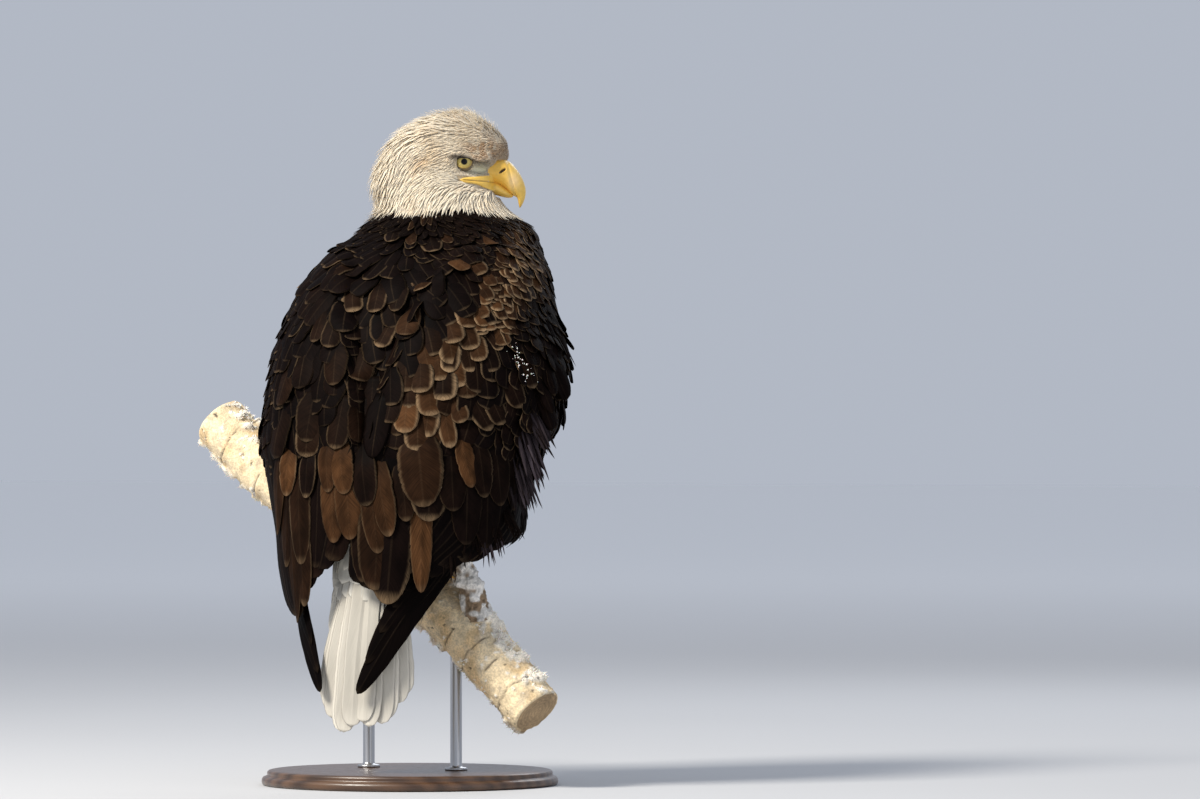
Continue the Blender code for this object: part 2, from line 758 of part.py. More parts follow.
def toe_path(side, toe, count, extra=0.0):
    """Points of a toe from the ball of the foot round the bark, and past its end by the extra."""
    way, spread, length, claw = TOES[toe]
    start = 9.0
    places = []
    for k in range(count):
        run = blend(start, length + extra, k / (count - 1))
        over = run / (PERCH_RADIUS + TOE_RADIUS)
        slip = run * sin(radians(spread)) * SIDES[side] * 0.86
        lift = TOE_RADIUS * 0.86 - 1.6 * smoothstep(0.5, 1.0, run / length)
        bearing = radians(4.0) + way * over * cos(radians(spread))
        places.append(perch_surface(FOOT_STATIONS[side] + slip * cos(radians(31.0)), bearing, lift))
    return places


def make_toe(side, toe, parts):
    count = 7
    length = TOES[toe][2]
    radii = []
    for k in range(count):
        along = k / (count - 1)
        knuckle = 0.7 * cos(2.0 * pi * along * max(round(length / 22.0), 1))
        radii.append(blend(TOE_RADIUS, 5.2, along) + knuckle * (1.0 - 0.4 * along))
    return tube(toe_path(side, toe, count), radii, f"toe_{toe}_{side}", parts, "foot_skin", 2)


def make_claw(side, toe, parts):
    """A hooked claw: it rises off the end of the toe and comes down to the bark."""
    way, spread, length, claw = TOES[toe]
    count = 6
    points, radii = [], []
    for k in range(count):
        along = k / (count - 1)
        run = length + claw * 0.86 * along
        over = run / (PERCH_RADIUS + TOE_RADIUS)
        slip = run * sin(radians(spread)) * SIDES[side] * 0.86
        lift = blend(5.0, 1.5, along) + 7.0 * sin(pi * along ** 0.8)
        bearing = radians(4.0) + way * over * cos(radians(spread))
        points.append(perch_surface(FOOT_STATIONS[side] + slip * cos(radians(31.0)), bearing, lift))
        radii.append(blend(4.7, 0.7, along ** 0.9))
    return tube(points, radii, f"claw_{toe}_{side}", parts, "claw_horn", 1)


# ---------------------------------------------------------------------------
# branch and stand
# ---------------------------------------------------------------------------


def make_perch(parts):
    """The branch: a round log with two bends and slow swells, sawn across at both ends."""
    count = 17
    points, radii = [], []
    for k in range(count):
        distance = blend(*PERCH_ENDS, k / (count - 1))
        points.append(perch_point(distance))
        swell = 1.1 * sin(distance / 41.0) + 0.7 * sin(distance / 17.0 + 1.0)
        radii.append(PERCH_RADIUS + swell)
    return tube(points, radii, "perch", parts, "frosted_bark", 6)


def make_stand(parts):
    bm = bmesh.new()
    bmesh.ops.create_cone(bm, cap_ends=True, segments=48, radius1=BASE_RADIUS, radius2=BASE_RADIUS,
                          depth=BASE_HEIGHT)
    bmesh.ops.translate(bm, vec=(0.0, 0.0, BASE_HEIGHT / 2.0), verts=bm.verts)
    base = add_mesh("stand_base", bm, parts, "stand_wood", smooth=False)
    edge = base.modifiers.new("edge", "BEVEL")
    edge.width = BASE_EDGE * MM
    edge.segments = 1
    edge.limit_method = "ANGLE"
    rods = []
    for number, distance in enumerate(ROD_STATIONS, start=1):
        foot = perch_point(distance)
        foot.z = BASE_HEIGHT + GAP
        top = perch_point(distance)
        rods.append(tube([foot, top], (ROD_RADIUS, ROD_RADIUS), f"stand_rod_{number}", parts,
                         "stand_steel", 5))
    return base, rods


# ---------------------------------------------------------------------------
# the whole bird
# ---------------------------------------------------------------------------


def fit(piece, neighbours, cutters, amount=GAP):
    """Cut a piece back from each neighbour that stands already."""
    for neighbour in neighbours:
        make_room(piece, neighbour, cutters, amount)
    settle(piece)
    return piece


def main():
    clear_scene()
    parts = new_collection("bald_eagle")
    cutters = new_collection("cutters")

    perch = make_perch(parts)
    base, rods = make_stand(parts)
    for rod in rods:
        fit(rod, (perch,), cutters)

    head, neck, trunk = make_body(parts)
    upper = make_bill_half("bill_upper", UPPER_BILL, parts)
    lower = fit(make_bill_half("bill_lower", LOWER_BILL, parts), (upper,), cutters)
    eyes = [make_eye(side, parts) for side in SIDES]
    fit(head, (upper, lower, *eyes), cutters)
    fit(neck, (upper, lower), cutters)
    fit(trunk, (perch,), cutters, 1.0)
    coverts = fit(make_tail_coverts(parts), (trunk,), cutters)
    tail = fit(make_tail(parts), (trunk, coverts), cutters)

    for side in SIDES:
        solid = (perch, trunk, coverts, tail)
        wing = fit(make_wing(side, parts), (*solid, neck), cutters)
        secondaries = fit(make_secondaries(side, parts), (*solid, wing), cutters, SHEET_GAP)
        primaries = fit(make_primaries(side, parts), (*solid, wing, secondaries), cutters, SHEET_GAP)
        thigh = fit(make_thigh(side, parts), (perch, trunk, wing, secondaries, primaries), cutters)
        tarsus = fit(make_tarsus(side, parts), (trunk, thigh, perch), cutters)
        foot = [perch, tarsus, thigh, trunk]
        for toe in TOES:
            foot.append(fit(make_toe(side, toe, parts), foot, cutters))
        for toe in TOES:
            foot.append(fit(make_claw(side, toe, parts), foot, cutters))


main()
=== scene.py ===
"""The look of a perched bald eagle display model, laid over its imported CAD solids.

Helper functions work in millimetres, in the frame of the solids; meshes are scaled once, by MM.
"""

from functools import lru_cache
from math import cos, pi, radians, sin

import bmesh
import bpy
import numpy as np
from bpy.props import FloatProperty, FloatVectorProperty, IntProperty, PointerProperty
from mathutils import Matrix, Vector
from mathutils.bvhtree import BVHTree


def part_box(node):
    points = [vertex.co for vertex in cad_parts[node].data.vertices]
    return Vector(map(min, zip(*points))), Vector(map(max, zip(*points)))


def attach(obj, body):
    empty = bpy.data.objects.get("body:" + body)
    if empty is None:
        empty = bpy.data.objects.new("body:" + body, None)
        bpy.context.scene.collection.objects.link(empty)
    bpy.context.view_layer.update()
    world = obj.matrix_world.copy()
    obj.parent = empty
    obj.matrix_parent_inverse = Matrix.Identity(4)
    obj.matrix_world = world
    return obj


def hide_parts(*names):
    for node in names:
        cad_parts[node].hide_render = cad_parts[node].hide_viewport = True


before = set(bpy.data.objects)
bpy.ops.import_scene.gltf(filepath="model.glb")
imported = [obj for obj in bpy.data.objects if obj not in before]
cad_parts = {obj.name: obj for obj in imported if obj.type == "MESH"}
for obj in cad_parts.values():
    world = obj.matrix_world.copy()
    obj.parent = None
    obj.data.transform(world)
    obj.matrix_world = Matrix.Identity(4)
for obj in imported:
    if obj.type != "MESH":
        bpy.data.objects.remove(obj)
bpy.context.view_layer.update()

bl_info = {
    "name": "Perched Bald Eagle",
    "version": (1, 0, 0),
    "blender": (4, 5, 0),
    "location": "View3D > Sidebar > Eagle",
    "description": "Skin, plumage, bill, feet, branch and stand over the CAD solids of a perched eagle",
    "category": "Object",
}

MM = 0.001
SIDES = {"left": -1.0, "right": 1.0}

# the view: the bird is seen from behind, turned a little; ACROSS runs to the viewer's right
VIEW_TURN = radians(22.0)
ACROSS = np.array([cos(VIEW_TURN), sin(VIEW_TURN), 0.0])
AWAY = np.array([-sin(VIEW_TURN), cos(VIEW_TURN), 0.0])
UP = np.array([0.0, 0.0, 1.0])

# the head: turned about an upright axis through the neck
HEAD_TURN = radians(68.0)
FORWARD = np.array([sin(HEAD_TURN), cos(HEAD_TURN), 0.0])
LEFT = np.array([-FORWARD[1], FORWARD[0], 0.0])
NECK = np.array([0.0, 100.0, 0.0])
EYE = (25.6, 31.5, 749.0)
EYE_RADIUS = 11.5

# the plain form under coat and skin: breadth of its faces, rounds of smoothing, swelling of each solid
FORM_FACE, FORM_SMOOTHINGS, SOLID_GROWTH = 3.6, 8, 1.0

FLESH = ("head", "neck", "trunk", "wing_left", "wing_right", "thigh_left", "thigh_right", "tail_coverts")
FEATHERED = FLESH + ("secondaries_left", "secondaries_right", "tail")


# ---- small sums ----


def unit(v):
    return v / np.maximum(np.linalg.norm(v, axis=-1, keepdims=True), 1e-9)


def dot(a, b):
    return (a * b).sum(axis=-1, keepdims=True)


def level(v, normal):
    """The part of v that lies in the surface."""
    return v - normal * dot(v, normal)


def ramp(low, high, value):
    """0 at low, 1 at high, smooth between; low may be the greater."""
    t = np.clip((value - low) / (high - low), 0.0, 1.0)
    return t * t * (3.0 - 2.0 * t)


def mix(a, b, t):
    return a + (b - a) * t


def bump(value, middle, width):
    """1 at the middle, falling off smoothly to both sides."""
    return np.exp(-(((value - middle) / width) ** 2))


PRIMES = tuple(np.uint64(n) for n in (73856093, 19349663, 83492791, 2246822519))
SEED_PRIME = 2654435761
LOW_32_BITS, LOW_24_BITS = np.uint64(0xFFFFFFFF), np.uint64(0xFFFFFF)


def scattered(cells, seed):
    """A steady number from 0 to 1 for each row of whole numbers."""
    c = cells.astype(np.int64).astype(np.uint64)
    h = (c[..., 0] * PRIMES[0]) ^ (c[..., 1] * PRIMES[1]) ^ (c[..., 2] * PRIMES[2])
    h = (h ^ np.uint64(seed * SEED_PRIME & 0xFFFFFFFF)) & LOW_32_BITS
    for _ in range(2):
        h = ((h ^ (h >> np.uint64(15))) * PRIMES[3]) & LOW_32_BITS
    h ^= h >> np.uint64(13)
    return (h & LOW_24_BITS).astype(float) / float(LOW_24_BITS)


def scattered_over(a, b, c, seed):
    """scattered() for three whole numbers given apart, each spread over the others."""
    return scattered(np.stack(np.broadcast_arrays(a, b, c), axis=-1), seed)


def noise(places, size, seed=0):
    """Smooth noise from 0 to 1, its lumps about one size across."""
    q = np.asarray(places, float) / size + 1000.0
    cell = np.floor(q)
    t = q - cell
    t = t * t * (3.0 - 2.0 * t)
    total = np.zeros(q.shape[:-1])
    for corner in range(8):
        step = np.array([corner & 1, corner >> 1 & 1, corner >> 2 & 1], float)
        weight = np.prod(np.where(step > 0.5, t, 1.0 - t), axis=-1)
        total += weight * scattered(cell + step, seed)
    return total


def through(rows, count):
    """A smooth curve through a table's rows, as count rows evenly along them."""
    rows = np.asarray(rows, float)
    last = len(rows) - 1
    t = np.linspace(0.0, last, count)
    k = np.minimum(t.astype(int), last - 1)
    f = (t - k)[:, None]
    a, b = rows[np.maximum(k - 1, 0)], rows[k]
    c, d = rows[k + 1], rows[np.minimum(k + 2, last)]
    return 0.5 * (2 * b + (c - a) * f + (2 * a - 5 * b + 4 * c - d) * f ** 2
                  + (3 * b - a - 3 * c + d) * f ** 3)


def in_head(places):
    """Forward, left and height of points, along the head's own directions."""
    rel = places - NECK
    return rel @ FORWARD, rel @ LEFT, places[..., 2]


def head_place(forward, left, height):
    """The points that in_head() would read as these."""
    forward, left, height = np.broadcast_arrays(*(np.asarray(x, float) for x in (forward, left, height)))
    return NECK + forward[..., None] * FORWARD + left[..., None] * LEFT + height[..., None] * UP


def in_view(places):
    """Across and height of points, as seen from behind."""
    return places @ ACROSS, places[..., 2]


# ---- forms that other pieces lie on ----


class Form:
    """A closed surface: nearest points, smooth normals, and roots spread over it."""

    def __init__(self, points, triangles, rounds=3):
        self.points, self.triangles = points, triangles
        self.tree = BVHTree.FromPolygons(points.tolist(), triangles.tolist())
        corners = points[triangles]
        cross = np.cross(corners[:, 1] - corners[:, 0], corners[:, 2] - corners[:, 0])
        self.areas = np.linalg.norm(cross, axis=1) / 2.0
        normals = np.zeros_like(points)
        for k in range(3):
            np.add.at(normals, triangles[:, k], cross)
        normals = unit(normals)
        for _ in range(rounds):
            spread = np.zeros_like(points)
            middle = normals[triangles].sum(axis=1)
            for k in range(3):
                np.add.at(spread, triangles[:, k], middle)
            normals = unit(spread)
        self.normals = normals

    def nearest(self, places):
        """The nearest points of the surface and its smooth normals there."""
        find = self.tree.find_nearest
        found = [find(p) for p in places.tolist()]
        points = np.array([f[0] for f in found])
        rows = self.triangles[[f[2] for f in found]]
        return points, self.smooth(points, rows)

    def smooth(self, points, rows):
        """Normals at points of the triangles in rows, blended between their corners."""
        a, b, c = (self.points[rows[:, k]] for k in range(3))
        whole = np.cross(b - a, c - a)
        size = np.maximum(dot(whole, whole), 1e-9)
        wb = dot(np.cross(points - a, c - a), whole) / size
        wc = dot(np.cross(b - a, points - a), whole) / size
        a, b, c = (self.normals[rows[:, k]] for k in range(3))
        return unit(a * (1 - wb - wc) + b * wb + c * wc)

    def from_behind(self, across, height):
        """How far away the surface is, seen from behind; none where the sight line misses."""
        start = ACROSS * across + UP * height - AWAY * 600.0
        hit = self.tree.ray_cast(Vector(start), Vector(AWAY))
        return None if hit[0] is None else float(np.array(hit[0]) @ AWAY)

    def candidates(self, count, rng):
        """Points strewn evenly over the surface."""
        pick = rng.choice(len(self.areas), size=count, p=self.areas / self.areas.sum())
        r1, r2 = np.sqrt(rng.random(count)), rng.random(count)
        a, b, c = (self.points[self.triangles[pick, k]] for k in range(3))
        return a * (1 - r1)[:, None] + b * (r1 * (1 - r2))[:, None] + c * (r1 * r2)[:, None]


def thinned(places, spacing):
    """Indices of the points that stand no nearer to one kept before than their own spacing."""
    cells = np.floor(places / float(spacing.max())).astype(int).tolist()
    offsets = [(i, j, k) for i in (-1, 0, 1) for j in (-1, 0, 1) for k in (-1, 0, 1)]
    rows, gaps = places.tolist(), (spacing ** 2).tolist()
    grid, kept = {}, []

    def crowded(x, y, z, gap, ci, cj, ck):
        for i, j, k in offsets:
            for px, py, pz in grid.get((ci + i, cj + j, ck + k), ()):
                if (px - x) ** 2 + (py - y) ** 2 + (pz - z) ** 2 < gap:
                    return True
        return False

    for index, (place, gap, cell) in enumerate(zip(rows, gaps, cells)):
        if not crowded(*place, gap, *cell):
            grid.setdefault(tuple(cell), []).append(tuple(place))
            kept.append(index)
    return np.array(kept, int)


def node_arrays(name):
    """A CAD node's welded corners, in millimetres, and its triangles."""
    bm = bmesh.new()
    bm.from_mesh(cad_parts[name].data)
    bmesh.ops.remove_doubles(bm, verts=bm.verts, dist=1e-6)
    bmesh.ops.triangulate(bm, faces=bm.faces)
    bm.verts.index_update()
    points = np.array([v.co[:] for v in bm.verts]) / MM
    triangles = np.array([[v.index for v in f.verts] for f in bm.faces])
    bm.free()
    return points, triangles


def merged(names):
    """The named solids, each a little swollen, run into one closed form of even small faces."""
    bm = bmesh.new()
    for name in names:
        points, triangles = node_arrays(name)
        normals = Form(points, triangles, 0).normals
        verts = [bm.verts.new(p) for p in ((points + normals * SOLID_GROWTH) * MM).tolist()]
        for row in triangles.tolist():
            bm.faces.new([verts[k] for k in row])
    mesh = bpy.data.meshes.new("form")
    bm.to_mesh(mesh)
    bm.free()
    holder = bpy.data.objects.new("form", mesh)
    bpy.context.scene.collection.objects.link(holder)
    remesh = holder.modifiers.new("voxels", "REMESH")
    remesh.mode = "VOXEL"
    remesh.voxel_size = FORM_FACE * MM
    smooth = holder.modifiers.new("smooth", "SMOOTH")
    smooth.iterations = FORM_SMOOTHINGS
    smooth.factor = 0.5
    bpy.context.view_layer.update()
    graph = bpy.context.evaluated_depsgraph_get()
    result = bpy.data.meshes.new_from_object(holder.evaluated_get(graph))
    bpy.data.objects.remove(holder, do_unlink=True)
    bpy.data.meshes.remove(mesh)
    return result


def mesh_arrays(mesh):
    """A mesh's corners, in millimetres, and its triangles."""
    mesh.calc_loop_triangles()
    points = np.zeros(len(mesh.vertices) * 3)
    mesh.vertices.foreach_get("co", points)
    triangles = np.zeros(len(mesh.loop_triangles) * 3, int)
    mesh.loop_triangles.foreach_get("vertices", triangles)
    return points.reshape(-1, 3) / MM, triangles.reshape(-1, 3)


# forward distance from the neck, and height of the brow's lower edge there
BROW = ((4, 14, 26, 34, 42, 58, 66), (757.2, 755.6, 754.6, 752.2, 749.8, 747.6, 748.0))


def brow_edge(forward):
    """Height of the lower edge of the brow, which runs down in front of the eye."""
    return np.interp(forward, *BROW)


def face_relief(points):
    """How far the head's skin stands out of the plain form: brow, eye hollows, lores and cheeks."""
    f, l, z = in_head(points)
    side = ramp(12.0, 26.0, np.abs(l))
    front = ramp(704.0, 712.0, z)
    above = z - brow_edge(f)
    brow = 5.2 * ramp(-1.2, 2.6, above) * np.exp(-(np.maximum(above - 3.0, 0.0) / 8.0) ** 2)
    brow = brow * ramp(2.0, 16.0, f) * ramp(68.0, 54.0, f)
    hollow = -3.8 * np.exp(-(((f - 26.0) / 12.5) ** 2 + ((z - 747.5) / 9.5) ** 2))
    lore = -3.2 * np.exp(-((f - 49.0) / 14.0) ** 2 - ((z - 741.0) / 6.5) ** 2)
    cheek = 2.4 * np.exp(-((f - 6.0) / 20.0) ** 2 - ((z - 725.0) / 11.0) ** 2)
    mouth = -2.0 * bump(z, 718.0, 3.2) * ramp(12.0, 30.0, f)
    return (brow + hollow + lore + cheek + mouth) * side * front


def refine_face(mesh):
    """Smaller faces on the front of the head, where the relief is fine."""
    bm = bmesh.new()
    bm.from_mesh(mesh)
    for _ in range(2):
        near = []
        for e in bm.edges:
            f, _, z = in_head(np.array((e.verts[0].co + e.verts[1].co) / 2.0) / MM)
            if 706.0 < z < 775.0 and f > 0.0:
                near.append(e)
        bmesh.ops.subdivide_edges(bm, edges=near, cuts=1, use_grid_fill=True, smooth=0.0)
    bm.to_mesh(mesh)
    bm.free()


def tucked(places):
    """Places drawn in a little at the lower edge of the right wing, where its feathers are held tight."""
    across, height = in_view(places)
    amount = 15.0 * ramp(105.0, 165.0, across) * ramp(296.0, 345.0, height) * ramp(445.0, 400.0, height)
    return places - ACROSS * amount[..., None]


@lru_cache(maxsize=None)
def coat_form():
    """The surface that the feathers lie on: flesh and inner flight feathers in one, with its relief."""
    mesh = merged(FEATHERED)
    refine_face(mesh)
    points, triangles = mesh_arrays(mesh)
    bpy.data.meshes.remove(mesh)
    points = tucked(points)
    return Form(points + Form(points, triangles).normals * face_relief(points)[:, None], triangles)


@lru_cache(maxsize=None)
def node_tree(name):
    """A search tree over one CAD node."""
    points, triangles = node_arrays(name)
    return BVHTree.FromPolygons(points.tolist(), triangles.tolist())


def owners(places):
    """For each point, the name of the nearest node that bears contour feathers or lies among them."""
    gaps = np.array([[node_tree(n).find_nearest(p)[3] for p in places.tolist()] for n in FEATHERED])
    return np.array(FEATHERED)[gaps.argmin(axis=0)]


# ---- markings, shared by skin and coat ----


def colour(name):
    return np.array(getattr(bpy.context.scene.eagle_colours, name)[:3])


# colours that the settings leave alone
TONE = {name: np.array(value) for name, value in {
    "painted_brow_shadow": (0.09, 0.048, 0.026), "tuft_grey": (0.075, 0.058, 0.066),
    "painted_bill_highlight": (1.0, 0.70, 0.36), "bill_root": (0.95, 0.54, 0.07), "bill_tip": (0.50, 0.22, 0.03),
    # the nostril colour is painted shade in its pit
    "nostril": (0.05, 0.022, 0.010), "gape_crease": (0.26, 0.11, 0.02), "gape_rim": (0.78, 0.66, 0.36),
    "pupil": (0.003, 0.003, 0.003), "eye_white": (0.05, 0.035, 0.02),
    "lid": (0.24, 0.19, 0.12), "lid_rim": (0.46, 0.32, 0.08), "painted_lid_shade": (0.020, 0.012, 0.009),
    "sawn_wood": (0.46, 0.32, 0.18), "stub_bark": (0.30, 0.21, 0.13), "stub_rime": (0.86, 0.83, 0.78),
    "bark_cream": (0.88, 0.71, 0.46), "bark_ochre": (0.76, 0.53, 0.27), "bark_grey": (0.52, 0.44, 0.33),
    "bark_frost": (0.93, 0.87, 0.76), "bark_crack": (0.055, 0.04, 0.03),
    "toe_stain": (0.42, 0.20, 0.04), "claw": (0.016, 0.014, 0.014), "claw_root": (0.09, 0.07, 0.06),
}.items()}

# height of the tips of the white neck feathers across the back, seen from behind
COLLAR = ((-60.0, 716.0), (-48.0, 700.0), (-40.0, 681.0), (-18.0, 687.0), (6.0, 688.0), (26.0, 691.0),
          (54.0, 691.0), (78.0, 687.0), (100.0, 683.0), (112.0, 685.0), (122.0, 696.0), (140.0, 714.0))
# how far above their tips the white feathers grow, along the same line
COLLAR_REACH = ((-60.0, 24.0), (-20.0, 24.0), (4.0, 17.0), (30.0, 14.0), (58.0, 14.0), (80.0, 16.0),
                (125.0, 12.0))


def collar_height(places, share=1.0):
    """Height where the white feathers of the neck end: lower in front, and ragged.

    Share 1 is the line of their roots, share 0 the line of their tips.
    """
    across, depth = places @ ACROSS, places @ AWAY
    front = ramp(70.0, 120.0, depth)
    tips = mix(np.interp(across, *np.transpose(COLLAR)), 672.0, front)
    reach = np.interp(across, *np.transpose(COLLAR_REACH)) * mix(1.0, 0.7, front)
    return tips + share * reach + 3.0 * (noise(places, 9.0, 5) - 0.5)


def whiteness(places):
    return (places[:, 2] > collar_height(places, 0.45)).astype(float)


def head_markings(places):
    """Cream white with tan behind the eye, brown mottling on the brow and a grey-green lore; painted shade
    darkens the face, the crease under the gape and the lower edge of the brow.
    """
    f, l, z = in_head(places)
    cream, tan, brown = colour("cream"), colour("head_tan"), colour("head_brown")
    base = np.tile(cream, (len(places), 1))

    def spot(forward, height, long, tall):
        return np.exp(-((f - forward) / long) ** 2 - ((z - height) / tall) ** 2)

    # the cream darkens towards the face: painted shade
    base = base * mix(1.0, 0.87, ramp(-35.0, 15.0, f))[:, None]
    warm = 0.75 * spot(-8.0, 753.0, 14.0, 11.0) + 0.40 * spot(-1.0, 775.0, 10.0, 15.0)
    warm += 0.30 * spot(-22.0, 745.0, 6.0, 11.0) + 0.30 * spot(52.0, 768.0, 26.0, 16.0)
    warm += 0.22 * ramp(0.5, 0.8, noise(places, 15.0, 3))
    base = mix(base, tan, np.clip(warm, 0, 1)[:, None])
    mottle = ramp(0.36, 0.56, noise(places, 8.0, 8))
    stains_and_shade = 1.25 * mottle * spot(54.0, 764.0, 19.0, 12.0) + 0.12 * spot(60.0, 764.0, 19.0, 10.0)
    above = z - brow_edge(f)
    flank = ramp(14.0, 24.0, np.abs(l))
    # a painted shadow along the lower edge of the brow ridge
    line = 0.85 * bump(above, 0.6, 2.4) * ramp(10.0, 18.0, f) * ramp(66.0, 56.0, f) * flank
    stains_and_shade += 0.55 * spot(-14.0, 754.5, 4.5, 3.2)
    stains_and_shade += 0.55 * ramp(68.0, 80.0, f) * ramp(782.0, 764.0, z) * ramp(748.0, 756.0, z)
    stains_and_shade += 0.20 * ramp(0.62, 0.8, noise(places, 5.0, 12)) * ramp(770.0, 800.0, z) * ramp(0.0, 40.0, f)
    # painted shade in the crease under the gape, and a dark mark below the eye
    stains_and_shade += 0.45 * spot(43.0, 718.5, 9.0, 2.4) + 0.35 * spot(30.0, 735.0, 5.0, 2.0)
    beside = ramp(6.0, 20.0, np.abs(l) + ramp(66.0, 74.0, f) * 20.0)
    base = mix(base, brown, np.clip(stains_and_shade * beside, 0, 0.85)[:, None])
    base = mix(base, TONE["painted_brow_shadow"], line[:, None])
    lore = spot(49.0, 741.0, 13.0, 6.0) * flank
    return mix(base, colour("lore"), np.clip(1.3 * lore, 0, 0.85)[:, None])


# the pale-edged shoulder feathers: a band across the right of the back, seen from behind
PALE_BAND = np.array([(136.0, 655.0), (134.0, 628.0), (112.0, 604.0), (92.0, 572.0), (60.0, 556.0),
                      (40.0, 528.0), (26.0, 500.0), (20.0, 470.0)])


def near_path(across, height, path):
    """Distance of points from a row of straight stretches."""
    p = np.stack([across, height], axis=-1)
    best = np.full(len(p), 1e9)
    for a, b in zip(path[:-1], path[1:]):
        t = np.clip(((p - a) @ (b - a)) / ((b - a) @ (b - a)), 0, 1)
        best = np.minimum(best, np.linalg.norm(p - (a + t[:, None] * (b - a)), axis=1))
    return best


def paleness(places, normals):
    """How pale and brown a body feather is, from 0 to 1."""
    across, height = in_view(places)
    behind = ramp(0.0, 0.35, -(normals @ AWAY))
    gap = near_path(across, height, PALE_BAND)
    patch = 0.45 + 0.55 * ramp(0.25, 0.6, noise(places, 24.0, 21))
    band = ramp(44.0, 12.0, gap) * patch
    scattered_few = 0.35 * ramp(0.74, 0.84, noise(places, 13.0, 22)) * ramp(560.0, 600.0, height)
    return np.clip(band * behind + scattered_few, 0, 1)


def dark_colours(places, normals, rng):
    """Plumage colour and edge strength of each dark feather."""
    pale = paleness(places, normals)
    count = len(places)
    tone = rng.random(count) ** 1.6
    dark, brown, tan = colour("dark"), colour("brown"), colour("tan")
    base = mix(dark, brown, (0.10 + 0.80 * tone * ramp(0.2, 0.8, noise(places, 60.0, 9)))[:, None])
    base = mix(base, tan, (0.62 * pale * rng.random(count))[:, None])
    edge = 0.05 + 0.30 * rng.random(count) ** 1.8 + 1.0 * pale * (0.5 + 0.5 * rng.random(count))
    return base, np.clip(edge, 0, 1)


# ---- meshes ----


def set_colours(mesh, name, values):
    """Give each corner of a mesh a colour, which the shaders read by name."""
    layer = mesh.attributes.new(name, "FLOAT_COLOR", "POINT")
    full = np.ones((len(values), 4), np.float32)
    full[:, :values.shape[1]] = values
    layer.data.foreach_set("color", full.ravel())


def add_piece(name, points, faces, finish, replaces=(), colours=None, smooth=True):
    """One closed mesh as a piece of the model."""
    mesh = bpy.data.meshes.new(name)
    mesh.from_pydata((np.asarray(points) * MM).tolist(), [], faces)
    mesh.polygons.foreach_set("use_smooth", np.full(len(mesh.polygons), smooth))
    if colours is not None:
        set_colours(mesh, "plumage", np.asarray(colours))
    mesh.update()
    add_object(name, mesh, finish, replaces)


def add_object(name, mesh, finish, replaces=()):
    """Hang a mesh on the body, with its finish and the CAD nodes that it stands for."""
    piece = bpy.data.objects.new(name, mesh)
    bpy.context.scene.collection.objects.link(piece)
    mesh.materials.append(material(finish))
    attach(piece, "root")
    if replaces:
        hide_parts(*replaces)


def grid_faces(rows, columns, start=0):
    """Quads of a row of rings, each closed on itself, wound to face out."""
    faces = []
    for i in range(rows - 1):
        for j in range(columns):
            a, b = start + i * columns + j, start + i * columns + (j + 1) % columns
            faces.append((a, b, b + columns, a + columns))
    return faces


def rings_mesh(rings):
    """A row of rings, closed at both ends by a middle point."""
    rings = np.asarray(rings)
    rows, columns = rings.shape[:2]
    points = np.concatenate([rings.reshape(-1, 3), rings[:1].mean(axis=1), rings[-1:].mean(axis=1)])
    faces = grid_faces(rows, columns)
    first, last, base = rows * columns, rows * columns + 1, (rows - 1) * columns
    faces += [(first, (j + 1) % columns, j) for j in range(columns)]
    faces += [(last, base + j, base + (j + 1) % columns) for j in range(columns)]
    return points, faces


def tube_rings(path, radius, points=24, flatten=1.0, up=UP):
    """Rings along a path; radius is a function of (share along, bearing from the upper side)."""
    path = np.asarray(path, float)
    tangent = unit(np.gradient(path, axis=0))
    side = unit(np.cross(tangent, up))
    top = np.cross(side, tangent)
    share = np.linspace(0, 1, len(path))
    bearing = np.linspace(0, 2 * pi, points, endpoint=False)
    r = radius(share[:, None], bearing[None, :])
    return (path[:, None] + top[:, None] * (np.cos(bearing)[None, :, None] * r[..., None])
            + side[:, None] * (np.sin(bearing)[None, :, None] * r[..., None] * flatten))


def trims(edge, own, shaft):
    """For each feather: strength of its pale edge, a number of its own, and how far its shaft shows."""
    return np.stack(np.broadcast_arrays(edge, own, shaft), axis=-1)


# where the corners of a vane lie across it, from edge to edge, for feathers of all breadths
FINE, NARROW = (-1.0, 0.0, 1.0), (-1.0, -0.5, 0.0, 0.5, 1.0)
MIDDLING = (-1.0, -0.8, -0.4, 0.0, 0.4, 0.8, 1.0)
FULL = (-1.0, -0.82, -0.42, 0.0, 0.42, 0.82, 1.0)
WIDE = (-1.0, -0.86, -0.60, -0.32, -0.10, 0.0, 0.10, 0.32, 0.60, 0.86, 1.0)


